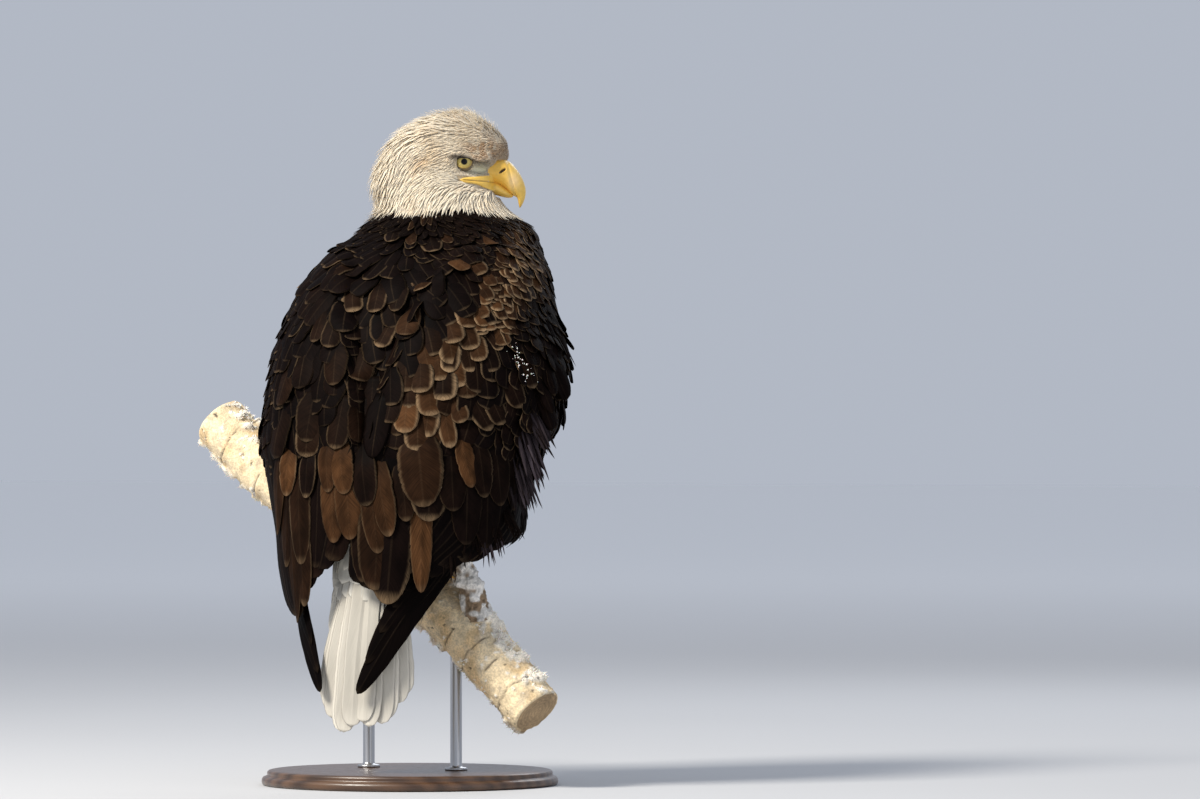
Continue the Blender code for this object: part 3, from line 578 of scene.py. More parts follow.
class Vanes:
    """Many closed thin feathers, joined into one mesh."""

    def __init__(self):
        self.parts = []

    def add(self, place, normal, side, width, lift, columns, uv_root, plumage, trim,
            camber=0.18, thickness=0.4, ridge=0.0, roll=None, patch=0.003, grade=None):
        """Lay feathers: place, normal and side are feathers x rows x 3, width and lift feathers x rows.

        width may have a third axis, for the two sides of the shaft. columns: where the vane's corners lie
        across it, from -1 to 1. uv_root, plumage, trim: corner in the bake map, colour and trims() of each.
        """
        count, rows = place.shape[:2]
        x = np.array(columns)
        n = len(x)
        w = width[..., None] if width.ndim == 2 else np.where(x < 0.0, width[..., :1], width[..., 1:])
        rise = lift[..., None] - camber * w * (x ** 2)
        fading = ramp(1.0, 0.7, np.linspace(0, 1, rows))[None, :, None]
        rise = rise + ridge * np.exp(-(x / 0.09) ** 2) * fading
        if roll is not None:
            rise = rise + roll[:, None, None] * w * x
        top = place[:, :, None] + side[:, :, None] * (w * x)[..., None] + normal[:, :, None] * rise[..., None]
        under = place + normal * (lift[..., None] - thickness - 0.02 * w[..., :1])
        points = np.concatenate([top, under[:, :, None]], axis=2).reshape(count, -1, 3)
        stride = n + 1
        faces, flat = [], []
        for k in range(rows - 1):
            a, b = k * stride, (k + 1) * stride
            faces += [(a + j, a + j + 1, b + j + 1, b + j) for j in range(n - 1)]
            faces += [(a + n, a, b, b + n), (a + n - 1, a + n, b + n, b + n - 1)]
            flat += [False] * (n - 1) + [True, True]
        last = (rows - 1) * stride
        for j in range(n - 1):
            faces += [(n, j + 1, j), (last + n, last + j, last + j + 1)]
            flat += [True, True]
        v = np.linspace(0, 1, rows) if grade is None else grade
        uv = np.zeros((rows, stride, 2))
        uv[:, :n, 0] = (x + 1) / 2
        uv[:, n, 0] = 0.5
        uv[..., 1] = v[:, None]
        uv = uv.reshape(-1, 2)
        patches = uv_root[:, None, :] + (uv[None] - 0.5) * patch
        self.parts.append(dict(
            points=points, loops=np.concatenate([np.array(f) for f in faces]),
            totals=np.array([len(f) for f in faces]), flat=np.array(flat), uv=uv, patches=patches,
            plumage=np.broadcast_to(plumage[:, None, :], (count, points.shape[1], 3)),
            trim=np.broadcast_to(trim[:, None, :], (count, points.shape[1], 3))))

    def finish(self, name, look, replaces=()):
        """Join all feathers laid so far into one piece."""
        parts, base = [], 0
        for p in self.parts:
            count, each = p["points"].shape[:2]
            shift = base + np.arange(count)[:, None] * each
            parts.append((
                p["points"].reshape(-1, 3), (p["loops"][None] + shift).ravel(), np.tile(p["totals"], count),
                np.tile(p["flat"], count), np.tile(p["uv"][p["loops"]], (count, 1)),
                p["patches"][:, p["loops"]].reshape(-1, 2), p["plumage"].reshape(-1, 3),
                p["trim"].reshape(-1, 3)))
            base += count * each
        points, loops, totals, flat, uv, patches, plumage, trim = (np.concatenate(a) for a in zip(*parts))
        mesh = bpy.data.meshes.new(name)
        mesh.vertices.add(len(points))
        mesh.vertices.foreach_set("co", (points * MM).astype(np.float32).ravel())
        mesh.loops.add(len(loops))
        mesh.loops.foreach_set("vertex_index", loops.astype(np.int32))
        mesh.polygons.add(len(totals))
        starts = np.concatenate([[0], np.cumsum(totals)[:-1]])
        mesh.polygons.foreach_set("loop_start", starts.astype(np.int32))
        mesh.update(calc_edges=True)
        mesh.polygons.foreach_set("use_smooth", ~flat)
        vane = mesh.uv_layers.new(name="vane")
        vane.data.foreach_set("uv", uv.astype(np.float32).ravel())
        bake = mesh.uv_layers.new(name="OFBake")
        bake.data.foreach_set("uv", patches.astype(np.float32).ravel())
        set_colours(mesh, "plumage", plumage)
        set_colours(mesh, "trim", trim)
        mesh.validate()
        add_object(name, mesh, look, replaces)


def unwrapped(places):
    """Each point's place on an unwrap of the skin, cut down the front: bearing and height."""
    low, high = 40.0, 830.0
    turn = np.arctan2(-places[:, 0], -(places[:, 1] - 40.0)) / (2 * pi) + 0.5
    return np.stack([0.01 + 0.98 * turn, 0.01 + 0.98 * (places[:, 2] - low) / (high - low)], axis=-1)


def outline(v, kind):
    """How a feather's half-width goes along it, root to tip."""
    root, shoulder, tip, power = kind
    body = root + (1.0 - root) * ramp(0.0, shoulder, v)
    end = np.clip((v - tip) / (1.0 - tip), 0.0, 1.0)
    return body * np.maximum(1.0 - end ** power, 0.0) ** (1.0 / min(power, 2.0))


# kinds of outline: width at the root, where it is full, where it starts to close, how bluntly it closes
LANCE = (0.50, 0.35, 0.22, 1.3)
ROUND = (0.50, 0.40, 0.50, 2.1)
BROAD = (0.55, 0.40, 0.66, 2.3)
LONG = (0.60, 0.25, 0.90, 2.2)
SLIM = (0.60, 0.25, 0.62, 1.7)
SHAG = (0.50, 0.30, 0.45, 1.4)


def torn(width, v, rng, tears, depth):
    """Left and right half-widths of vanes, with slanting tears where their barbs have come apart."""
    sides = np.repeat(width[..., None], 2, axis=-1)
    for _ in range(tears):
        past = v[None, :, None] - rng.uniform(0.40, 1.05, (len(width), 1, 2))
        deep = depth * rng.random((len(width), 1, 2)) ** 2.0
        sides = sides * (1.0 - deep * np.where(past < 0.0, ramp(-0.08, 0.0, past), ramp(0.02, 0.0, past)))
    return sides


def traced(form, roots, heading, length, grade, stiffness=0.75, turn=0.6):
    """Paths of feathers laid over a form from their roots: places, normals and sides."""
    place, normal = form.nearest(roots)
    way = unit(level(heading(place, normal), normal))
    places, normals, ways = [place], [normal], [way]
    for k in range(1, len(grade)):
        step = (length * (grade[k] - grade[k - 1]))[:, None]
        ahead = place + way * step
        near, n = form.nearest(ahead)
        rise = dot(ahead - near, n)
        place = near + n * np.where(rise > 0, rise * stiffness, 0.0)
        normal = unit(mix(normal, n, 0.6))
        way = unit(level(mix(way, unit(level(heading(near, n), n)), turn), normal))
        places.append(place)
        normals.append(normal)
        ways.append(way)
    places, normals, ways = (np.stack(a, axis=1) for a in (places, normals, ways))
    return places, normals, unit(np.cross(ways, normals))


def grades(rows, crowd=1.35):
    """Shares along a feather, closer together towards the tip."""
    t = np.linspace(0, 1, rows)
    return 1.0 - (1.0 - t) ** crowd


def turned(vectors, normals, angle):
    """Vectors of a surface, turned in it by an angle each."""
    a = angle[:, None]
    return vectors * np.cos(a) + np.cross(normals, vectors) * np.sin(a)


# ---- materials ----


class Shader:
    """A node tree built from short calls; a value may be a number, a colour or another node's socket."""

    def __init__(self, name, roughness=0.6, **constants):
        self.material = bpy.data.materials.new(name)
        self.material.use_nodes = True
        self.tree = self.material.node_tree
        self.tree.nodes.clear()
        out = self.tree.nodes.new("ShaderNodeOutputMaterial")
        self.body = self.tree.nodes.new("ShaderNodeBsdfPrincipled")
        self.tree.links.new(self.body.outputs[0], out.inputs["Surface"])
        self.body.inputs["Roughness"].default_value = roughness
        for key, value in constants.items():
            self.body.inputs[key.replace("_", " ")].default_value = value

    def node(self, kind, output=0, values=(), **settings):
        made = self.tree.nodes.new("ShaderNode" + kind)
        for key, value in settings.items():
            setattr(made, key, value)
        for socket, value in dict(values).items():
            self.put(made.inputs[socket], value)
        return made.outputs[output]

    def put(self, socket, value):
        if isinstance(value, bpy.types.NodeSocket):
            self.tree.links.new(value, socket)
        elif value is not None:
            socket.default_value = value

    def maths(self, operation, a, b=None, c=None):
        made = self.tree.nodes.new("ShaderNodeMath")
        made.operation = operation
        for socket, value in zip(made.inputs, (a, b, c)):
            self.put(socket, value)
        return made.outputs[0]

    def ramp(self, value, low, high, out_low=0.0, out_high=1.0):
        return self.node("MapRange", 0, {"Value": value, "From Min": low, "From Max": high,
                                         "To Min": out_low, "To Max": out_high},
                         interpolation_type="SMOOTHSTEP", clamp=True)

    def mixed(self, share, a, b, blend_type="MIX"):
        made = self.tree.nodes.new("ShaderNodeMix")
        made.data_type = "RGBA"
        made.blend_type = blend_type
        self.put(made.inputs["Factor"], share)
        self.put(made.inputs["A"], a)
        self.put(made.inputs["B"], b)
        return made.outputs["Result"]

    def places(self, scale=(1.0, 1.0, 1.0)):
        coordinates = self.node("TexCoord", "Object")
        return self.node("Mapping", 0, {"Vector": coordinates, "Scale": scale})

    def grain(self, vector, scale, detail=3.0):
        return self.node("TexNoise", "Fac",
                         {"Vector": vector, "Scale": scale, "Detail": detail, "Roughness": 0.5})

    def shaded(self, tone, light):
        """A colour made lighter or darker by one value."""
        return self.mixed(1.0, tone, self.node("CombineColor", 0, {0: light, 1: light, 2: light}), "MULTIPLY")

    def finish(self, colour_socket, height=None, strength=0.3, distance=0.0005, roughness=None):
        self.put(self.body.inputs["Base Color"], colour_socket)
        if roughness is not None:
            self.put(self.body.inputs["Roughness"], roughness)
        if height is not None:
            self.put(self.body.inputs["Normal"],
                     self.node("Bump", 0, {"Height": height, "Strength": strength, "Distance": distance}))
        return self.material


def plumage_material(name, edge, roughness, sheen, barbs, gloss, shadow, mottle, glow=0.0, strands=1.4):
    """Feather vanes: a colour of their own, a pale edge, a shaft and fine slanting barbs.

    barbs, strands: how fine the streaks are along and across. shadow: light left at the root.
    mottle: unevenness. glow: light that passes through.
    """
    s = Shader(name, roughness, Sheen_Weight=sheen, Sheen_Roughness=0.4, Specular_IOR_Level=gloss,
               Subsurface_Weight=glow, Subsurface_Radius=(1.0, 1.0, 1.0), Subsurface_Scale=0.003)
    base = s.node("Attribute", "Color", attribute_name="plumage")
    trim = s.tree.nodes.new("ShaderNodeSeparateColor")
    s.put(trim.inputs[0], s.node("Attribute", "Color", attribute_name="trim"))
    uv = s.tree.nodes.new("ShaderNodeSeparateXYZ")
    s.put(uv.inputs[0], s.node("UVMap", 0, uv_map="vane"))
    side = s.maths("ABSOLUTE", s.maths("MULTIPLY_ADD", uv.outputs[0], 2.0, -1.0))
    along = uv.outputs[1]
    slant = s.maths("MULTIPLY_ADD", side, -0.22, along)

    def spread(*pairs):
        return s.node("CombineXYZ", 0, {axis: s.maths("MULTIPLY", *pair) for axis, pair in zip("XYZ", pairs)})

    fibre = s.grain(spread((slant, barbs), (side, strands), (trim.outputs[1], 40.0)), 1.0, 3.0)
    wash = s.grain(spread((along, 3.0), (uv.outputs[0], 2.0), (trim.outputs[1], 90.0)), 1.0, 2.0)
    start = s.maths("MULTIPLY_ADD", trim.outputs[0], -0.40, 0.90)
    tip_start = s.maths("MULTIPLY_ADD", start, 0.4, 0.580)
    rim = s.maths("MAXIMUM", s.ramp(side, start, 0.985), s.ramp(along, tip_start, 0.995))
    rim = s.maths("MULTIPLY", s.maths("MULTIPLY", rim, trim.outputs[0]), s.ramp(fibre, 0.15, 0.5, 0.55, 1.0))
    tinted = s.mixed(rim, base, edge)
    shaft = s.maths("MULTIPLY", s.ramp(side, 0.075, 0.02), trim.outputs[2])
    tinted = s.mixed(s.maths("MULTIPLY", shaft, 0.11), tinted, edge)
    light = s.maths("MULTIPLY", s.ramp(fibre, 0.25, 0.75, 1.0 - mottle, 1.0 + 0.8 * mottle),
                    s.ramp(wash, 0.25, 0.75, 1.0 - mottle, 1.0 + 0.8 * mottle))
    light = s.maths("MULTIPLY", light, s.ramp(along, 0.0, 0.55, shadow, 1.0))
    tinted = s.shaded(tinted, light)
    height = s.maths("ADD", fibre, s.maths("MULTIPLY", s.ramp(side, 0.09, 0.0), 0.5))
    return s.finish(tinted, height, 0.35, 0.0004)


def skin_material():
    s = Shader("bird_skin", 0.8, Specular_IOR_Level=0.1)
    base = s.node("Attribute", "Color", attribute_name="plumage")
    fine = s.grain(s.places(), 900.0, 4.0)
    return s.finish(s.shaded(base, s.ramp(fine, 0.3, 0.7, 0.8, 1.1)), fine, 0.5, 0.0006)


def tinted_material(name, roughness, scale, strength, distance, variation, **constants):
    """A finish whose colour is painted on the mesh, with a fine grain over it."""
    s = Shader(name, roughness, **constants)
    base = s.node("Attribute", "Color", attribute_name="plumage")
    at = s.places()
    fine = s.grain(at, scale, 4.0)
    broad = s.grain(at, scale * 0.12, 2.0)
    light = s.maths("MULTIPLY", s.ramp(fine, 0.3, 0.7, 1 - variation, 1 + variation * 0.6),
                    s.ramp(broad, 0.3, 0.7, 1 - variation, 1 + variation * 0.5))
    return s.finish(s.shaded(base, light), fine, strength, distance)


def frost_material():
    s = Shader("hoarfrost", 0.55, Subsurface_Weight=0.15, Subsurface_Scale=0.002, Sheen_Weight=0.4)
    fine = s.grain(s.places(), 1500.0, 2.0)
    return s.finish(s.mixed(fine, (0.93, 0.87, 0.79, 1), (0.98, 0.94, 0.87, 1)), fine, 0.5, 0.0006)


def stand_wood_material():
    s = Shader("stand_wood", 0.38, Coat_Weight=0.35, Coat_Roughness=0.22)
    at = s.places((14.0, 90.0, 60.0))
    drift = s.grain(s.places((3.0, 6.0, 6.0)), 1.0, 2.0)
    rings = s.node("TexWave", "Fac", {"Vector": s.places((1.2, 7.0, 7.0)), "Scale": 2.2, "Distortion": 5.0,
                                      "Detail": 3.0}, bands_direction="Y")
    pores = s.grain(at, 9.0, 5.0)
    tone = s.mixed(rings, (0.040, 0.019, 0.009, 1), (0.115, 0.058, 0.028, 1))
    tone = s.mixed(s.ramp(drift, 0.35, 0.7, 0.0, 0.5), tone, (0.07, 0.032, 0.016, 1))
    tone = s.mixed(s.ramp(pores, 0.58, 0.72, 0.0, 0.7), tone, (0.018, 0.009, 0.005, 1))
    return s.finish(tone, pores, 0.12, 0.0004, s.ramp(pores, 0.4, 0.7, 0.34, 0.5))


def stand_steel_material():
    s = Shader("stand_steel", 0.3, Metallic=1.0)
    brushed = s.grain(s.places((900.0, 900.0, 6.0)), 1.0, 2.0)
    return s.finish(s.mixed(brushed, (0.42, 0.42, 0.43, 1), (0.62, 0.62, 0.63, 1)), brushed, 0.08, 0.0001,
                    s.ramp(brushed, 0.3, 0.7, 0.26, 0.42))


# edge: which colour of the settings its feathers are edged with
PLUMAGE_FINISHES = {
    "white_plumage": dict(edge="cream_edge", roughness=0.8, sheen=0.2, barbs=5.0, gloss=0.1, shadow=1.0,
                          mottle=0.06, glow=0.22, strands=7.0),
    "dark_plumage": dict(edge="fringe", roughness=0.6, sheen=0.0, barbs=30.0, gloss=0.025, shadow=0.45,
                         mottle=0.28),
    "flight_plumage": dict(edge="fringe", roughness=0.6, sheen=0.0, barbs=110.0, gloss=0.025, shadow=0.45,
                           mottle=0.45),
    "tail_plumage": dict(edge="cream_edge", roughness=0.7, sheen=0.1, barbs=120.0, gloss=0.25, shadow=0.66,
                         mottle=0.07),
}
# name, roughness, fineness, strength and depth of the grain, how far the colour varies;
# then the shader's own values
PAINTED_FINISHES = {
    "bill_horn": (("bill_horn", 0.36, 260.0, 0.10, 0.0004, 0.07),
                  dict(Coat_Weight=0.25, Coat_Roughness=0.25, Specular_IOR_Level=0.5)),
    "claw_horn": (("claw_horn", 0.26, 400.0, 0.12, 0.0003, 0.2), dict(Coat_Weight=0.4, Coat_Roughness=0.15)),
    "foot_skin": (("foot_skin", 0.55, 500.0, 0.35, 0.0005, 0.16), dict(Specular_IOR_Level=0.4)),
    "eye_ball": (("eye_ball", 0.25, 900.0, 0.0, 0.0001, 0.10),
                 dict(Coat_Weight=0.25, Coat_Roughness=0.03, Specular_IOR_Level=0.1)),
    "lid": (("eye_lid", 0.5, 900.0, 0.4, 0.0003, 0.15), {}),
    "bark": (("frosted_bark", 0.88, 420.0, 0.7, 0.0012, 0.22), {}),
}
OTHER_FINISHES = {"skin": skin_material, "frost": frost_material, "stand_wood": stand_wood_material,
                  "stand_steel": stand_steel_material}


@lru_cache(maxsize=None)
def material(name):
    """The model's finishes, each made once."""
    if name in PLUMAGE_FINISHES:
        looks = dict(PLUMAGE_FINISHES[name])
        edge = getattr(bpy.context.scene.eagle_colours, looks.pop("edge"))
        return plumage_material(name, (*edge[:3], 1.0), **looks)
    if name in PAINTED_FINISHES:
        grain, looks = PAINTED_FINISHES[name]
        return tinted_material(*grain, **looks)
    return OTHER_FINISHES[name]()


# ---- settings ----


def tint(name, text, value):
    return FloatVectorProperty(name=name, description=text, default=value, size=3, min=0.0, max=1.0,
                               subtype="COLOR")


def size(name, text, value):
    return FloatProperty(name=name, description=text, default=value, min=0.0, unit="LENGTH",
                         subtype="DISTANCE")


class EagleColours(bpy.types.PropertyGroup):
    """Colours of plumage, horn and skin."""

    cream: tint("Cream", "White of the head, neck and tail", (0.955, 0.83, 0.63))
    cream_edge: tint("Cream edge", "Outer edge of each white feather", (0.93, 0.87, 0.75))
    head_tan: tint("Head tan", "Warm stain behind the eye", (0.62, 0.42, 0.21))
    # head brown also paints the shade in the crease under the gape
    head_brown: tint("Head brown", "Mottling on the brow", (0.45, 0.24, 0.095))
    lore: tint("Lore", "Nearly bare skin between eye and bill", (0.80, 0.76, 0.52))
    dark: tint("Dark", "Darkest body feathers", (0.0025, 0.0013, 0.0012))
    brown: tint("Brown", "Lighter body feathers", (0.0075, 0.0034, 0.0022))
    tan: tint("Tan", "Worn pale feathers of the shoulder", (0.100, 0.044, 0.017))
    fringe: tint("Fringe", "Pale edge of the body feathers", (0.25, 0.165, 0.092))
    bill: tint("Bill", "Yellow of the bill", (1.0, 0.63, 0.11))
    foot: tint("Foot", "Yellow of shanks and toes", (0.80, 0.46, 0.06))
    iris: tint("Iris", "Ring of the eye", (0.66, 0.52, 0.17))


class EagleSizes(bpy.types.PropertyGroup):
    """Sizes of coat, view and stand."""

    coat_depth: size("Coat depth", "How far the skin lies under the feathers of the body", 0.006)
    nape_length: size("Nape feather", "Length of a feather on the nape", 0.034)
    face_length: size("Face feather", "Length of a feather on the face", 0.0075)
    mantle_width: size("Mantle feather", "Width of a large feather of the back", 0.030)
    camera_distance: size("Camera distance", "From the bird to the camera", 9.0)
    view_width: size("View width", "Width of what the camera sees at the bird", 1.44)
    seed: IntProperty(name="Seed", description="Start of the random draws", default=7)


def sizes():
    return bpy.context.scene.eagle_sizes


def generator(extra):
    return np.random.default_rng(sizes().seed * 1000 + extra)


# ---- stage ----

VIEW_CENTRE = ACROSS * 228.0 + UP * 462.0
SENSOR_WIDTH = 36.0
FLOOR_REACH = 30.0
WORLD_COLOUR, WORLD_STRENGTH = (0.62, 0.67, 0.77, 1.0), 0.72
LAMPS_AIM = (0.0, 0.0, 0.5)
# name, place (across, away, up, as the viewer stands), breadth, watts, colour, spread
LAMPS = (
    ("key", (-2.6, -1.9, 3.5), 1.3, 198.0, (1.0, 0.95, 0.86), 2.6),
    ("fill", (2.6, -2.4, 1.2), 2.4, 4.4, (0.90, 0.94, 1.0), 2.0),
    ("rim", (1.2, 2.6, 2.4), 1.6, 22.0, (0.92, 0.96, 1.0), pi),
)


def floor_material():
    """Pale grey near the stand, fading to white far away: painted light where the lamps no longer reach."""
    s = Shader("pale_floor", 0.9)
    cloud = s.grain(s.places((0.6, 0.6, 0.6)), 1.0, 2.0)
    close = s.mixed(cloud, (0.50, 0.505, 0.52, 1), (0.54, 0.545, 0.56, 1))
    far = s.ramp(s.node("VectorMath", 1, {0: s.places()}, operation="LENGTH"), 1.0, 11.0)
    return s.finish(s.mixed(far, close, (0.985, 0.985, 0.985, 1)))


class EAGLE_OT_stage(bpy.types.Operator):
    """Camera, lights and a plain pale floor"""

    bl_idname = "eagle.stage"
    bl_label = "Stage"

    def execute(self, context):
        s = sizes()
        camera = bpy.data.cameras.new("camera")
        camera.sensor_width = SENSOR_WIDTH
        camera.lens = SENSOR_WIDTH * s.camera_distance / s.view_width
        holder = bpy.data.objects.new("camera", camera)
        context.scene.collection.objects.link(holder)
        holder.location = VIEW_CENTRE * MM - AWAY * s.camera_distance
        holder.rotation_euler = Vector(AWAY).to_track_quat("-Z", "Y").to_euler()
        camera.clip_end = 60.0
        context.scene.camera = holder
        for lamp in LAMPS:
            self.lamp(context, *lamp)
        world = bpy.data.worlds.new("studio")
        world.use_nodes = True
        background = world.node_tree.nodes["Background"]
        background.inputs[0].default_value = WORLD_COLOUR
        background.inputs[1].default_value = WORLD_STRENGTH
        context.scene.world = world
        context.scene.view_settings.view_transform = "Standard"
        mesh = bpy.data.meshes.new("floor")
        corners = [(x * FLOOR_REACH, y * FLOOR_REACH, 0) for x, y in ((-1, -1), (1, -1), (1, 1), (-1, 1))]
        mesh.from_pydata(corners, [], [(0, 1, 2, 3)])
        floor = bpy.data.objects.new("floor", mesh)
        context.scene.collection.objects.link(floor)
        mesh.materials.append(floor_material())
        return {"FINISHED"}

    def lamp(self, context, name, where, breadth, power, tint_value, spread):
        """A square soft light, turned to the bird."""
        data = bpy.data.lights.new(name, "AREA")
        data.size = breadth
        data.energy = power
        data.color = tint_value
        data.spread = spread
        holder = bpy.data.objects.new(name, data)
        context.scene.collection.objects.link(holder)
        place = Vector(ACROSS) * where[0] + Vector(AWAY) * where[1] + Vector((0, 0, where[2]))
        holder.location = place
        holder.rotation_euler = (Vector(LAMPS_AIM) - place).to_track_quat("-Z", "Y").to_euler()


# ---- skin ----


FAR_INSIDE = 200.0


class EAGLE_OT_skin(bpy.types.Operator):
    """One skin under the coat, with the relief of the face"""

    bl_idname = "eagle.skin"
    bl_label = "Skin"

    def execute(self, context):
        depth = sizes().coat_depth / MM
        mesh = merged(FLESH)
        refine_face(mesh)
        points, triangles = mesh_arrays(mesh)
        points = tucked(points)
        form = Form(points, triangles)
        f, l, z = in_head(points)
        bare = np.exp(-((f - 38.0) / 22.0) ** 2 - ((z - 744.0) / 11.0) ** 2) * ramp(14.0, 24.0, np.abs(l))
        sink = np.where(z > 700.0, 3.2, depth) * (1.0 - 0.75 * bare)
        inward = [form.tree.ray_cast(Vector(p - n * 0.4), Vector(-n))[3] for p, n in zip(points, form.normals)]
        room = np.array([FAR_INSIDE if d is None else d for d in inward])
        sink = np.minimum(sink, 0.42 * room)
        points = points + form.normals * (face_relief(points) - sink)[:, None]
        mesh.vertices.foreach_set("co", (points * MM).ravel())
        mesh.polygons.foreach_set("use_smooth", np.ones(len(mesh.polygons), bool))
        white = np.maximum(whiteness(points), (points[:, 2] < 360.0) * (points[:, 1] < -70.0))[:, None]
        tones = mix(np.tile(colour("dark"), (len(points), 1)), head_markings(points) * 0.95, white)
        set_colours(mesh, "plumage", tones)
        mesh.name = "skin"
        add_object("skin", mesh, "skin", FLESH)
        return {"FINISHED"}


# ---- head and neck feathers ----


def head_heading(places, normals):
    """Back from the bill over the crown, then down the nape; down and back on cheeks and throat."""
    f, _, z = in_head(places)
    down = 0.15 + 1.7 * ramp(20.0, -75.0, f) + 1.2 * ramp(735.0, 690.0, z)
    down = down - 0.25 * ramp(765.0, 795.0, z) * ramp(-50.0, 0.0, f)
    back = 1.0 - 0.9 * ramp(-40.0, -85.0, f) - 0.75 * ramp(728.0, 690.0, z)
    way = -FORWARD * back[:, None] - UP * down[:, None]
    wave = (noise(places, 14.0, 31) - 0.5) * mix(0.45, 0.8, ramp(705.0, 730.0, places[:, 2]))
    return turned(unit(level(way, normals)), normals, wave)


def on_bare_face(places):
    """Where the head has no feathers: the eyes, the lore, the gape and the root of the bill."""
    f, l, z = in_head(places)
    eye = ((f - EYE[0]) / 9.6) ** 2 + ((z - EYE[2] + 1.2) / 7.6) ** 2 < 1.0
    lore = ((f - 48.0) / 11.0) ** 2 + ((z - 741.0) / 4.5) ** 2 < 1.0
    gape = (np.abs(z - (727.5 - 0.14 * np.maximum(f - 40.0, 0.0))) < 3.8) & (f > 22.0)
    side = np.abs(l) > 16.0
    bill = (f > 60.0) & (z < 755.0) & (z > 708.0) & (np.abs(l) < 19.0)
    return ((eye | lore | gape) & side) | bill


class EAGLE_OT_head_feathers(bpy.types.Operator):
    """Small pointed feathers of the head and neck"""

    bl_idname = "eagle.head_feathers"
    bl_label = "Head feathers"

    def execute(self, context):
        rng = generator(1)
        form = coat_form()
        spots = form.candidates(760000, rng)
        spots = spots[spots[:, 2] > 690.0]
        spots = spots[spots[:, 2] > collar_height(spots)]
        f, l, z = in_head(spots)
        spacing = mix(1.2, 1.6, ramp(34.0, -40.0, f))
        spacing = np.maximum(spacing, mix(1.2, 1.7, ramp(735.0, 700.0, z)))
        feathered = ~on_bare_face(spots)
        spots, spacing = spots[feathered], spacing[feathered]
        roots = spots[thinned(spots, spacing)]
        count = len(roots)
        f, l, z = in_head(roots)
        s = sizes()
        nape = ramp(30.0, -55.0, f)
        low = ramp(738.0, 706.0, z)
        crown = ramp(760.0, 795.0, z) * ramp(60.0, 20.0, f)
        grow = np.clip(np.maximum(nape, low * 0.95) + 0.35 * crown, 0, 1)
        even = ramp(34.0, 12.0, z - collar_height(roots))
        length = mix(s.face_length / MM, s.nape_length / MM, grow)
        length = length * (1.0 + mix(0.4, 0.16, even) * (rng.random(count) - 0.5))
        length = length * mix(0.62, 1.0, ramp(12.0, 24.0, np.hypot(f - EYE[0], z - EYE[2])))
        half = mix(1.05, 1.95, grow) * (0.75 + 0.5 * rng.random(count))
        jitter = rng.normal(0.0, 1.0, count) * mix(0.09, 0.11, grow)

        def heading(p, n):
            return turned(unit(level(head_heading(p, n), n)), n, jitter)

        v = grades(5, 1.1)
        place, normal, side = traced(form, roots, heading, length, v, 0.8)
        spiky = np.clip(0.25 * grow + 0.75 * ramp(-40.0, -75.0, f) + 1.0 * ramp(774.0, 792.0, z), 0, 1)
        stand = 0.1 + 9.0 * spiky * rng.random(count) ** 3.8 + mix(0.25, 0.4, grow) * rng.random(count)
        sunk = mix(1.6, 4.2, nape)
        lift = -sunk[:, None] + (sunk - 0.3 + stand)[:, None] * v[None, :] ** 1.25
        lift = lift - (2.4 * nape * ramp(704.0, 728.0, z))[:, None] * v[None, :]
        width = half[:, None] * outline(v, LANCE)[None, :] + 0.02
        tones = head_markings(roots) * (0.92 + 0.12 * rng.random(count))[:, None]
        trim = trims(0.5 + 0.3 * rng.random(count), rng.random(count), 0.1)
        roll = rng.normal(0.0, 0.07, count)
        groups = {"head_feathers_right": (f > 5.0) & (l <= 0.0), "head_feathers_left": (f > 5.0) & (l > 0.0),
                  "nape_feathers_right": (f <= 5.0) & (l <= 0.0),
                  "nape_feathers_left": (f <= 5.0) & (l > 0.0)}
        for name, mask in groups.items():
            vanes = Vanes()
            vanes.add(place[mask], normal[mask], side[mask], width[mask], lift[mask], FINE,
                      unwrapped(roots[mask]), tones[mask], trim[mask], 0.07, 0.20, roll=roll[mask], grade=v)
            vanes.finish(name, "white_plumage")
        return {"FINISHED"}


# ---- body feathers ----


def body_heading(places, normals):
    """Down the body: outward at the shoulders, back along the sides of the wings, in towards the tail."""
    z = places[:, 2]
    out = mix(-0.30, 0.55, ramp(380.0, 640.0, z)) * ramp(0.0, 0.7, -normals[:, 1])
    rear = 0.55 * ramp(0.4, 0.9, np.abs(normals[:, 0])) * ramp(-140.0, -40.0, places[:, 1])
    way = np.zeros_like(places)
    way[:, 2] = -1.0
    way[:, 0] += np.tanh(places[:, 0] / 22.0) * out
    way[:, 1] -= rear
    wave = (noise(places, 45.0, 41) - 0.5) * 0.5
    return turned(unit(level(way, normals)), normals, wave)


def body_width(places, normals):
    """Width of a body feather: small at the collar and right shoulder, large over the back."""
    across, height = in_view(places)
    full = sizes().mantle_width / MM
    width = mix(9.0, full, ramp(688.0, 620.0, height))
    right = ramp(50.0, 85.0, across) * ramp(510.0, 570.0, height)
    width = mix(width, np.minimum(width, 17.0), right * ramp(0.0, 0.4, -(normals @ AWAY)))
    width = mix(width, 32.0, ramp(480.0, 420.0, height))
    front = ramp(-0.1, 0.5, normals[:, 1])
    width = mix(width, mix(18.0, 23.0, ramp(600.0, 450.0, height)), front)
    side_edge = ramp(0.55, 0.85, np.abs(normals[:, 0]))
    return mix(width, np.minimum(width, 20.0), side_edge)


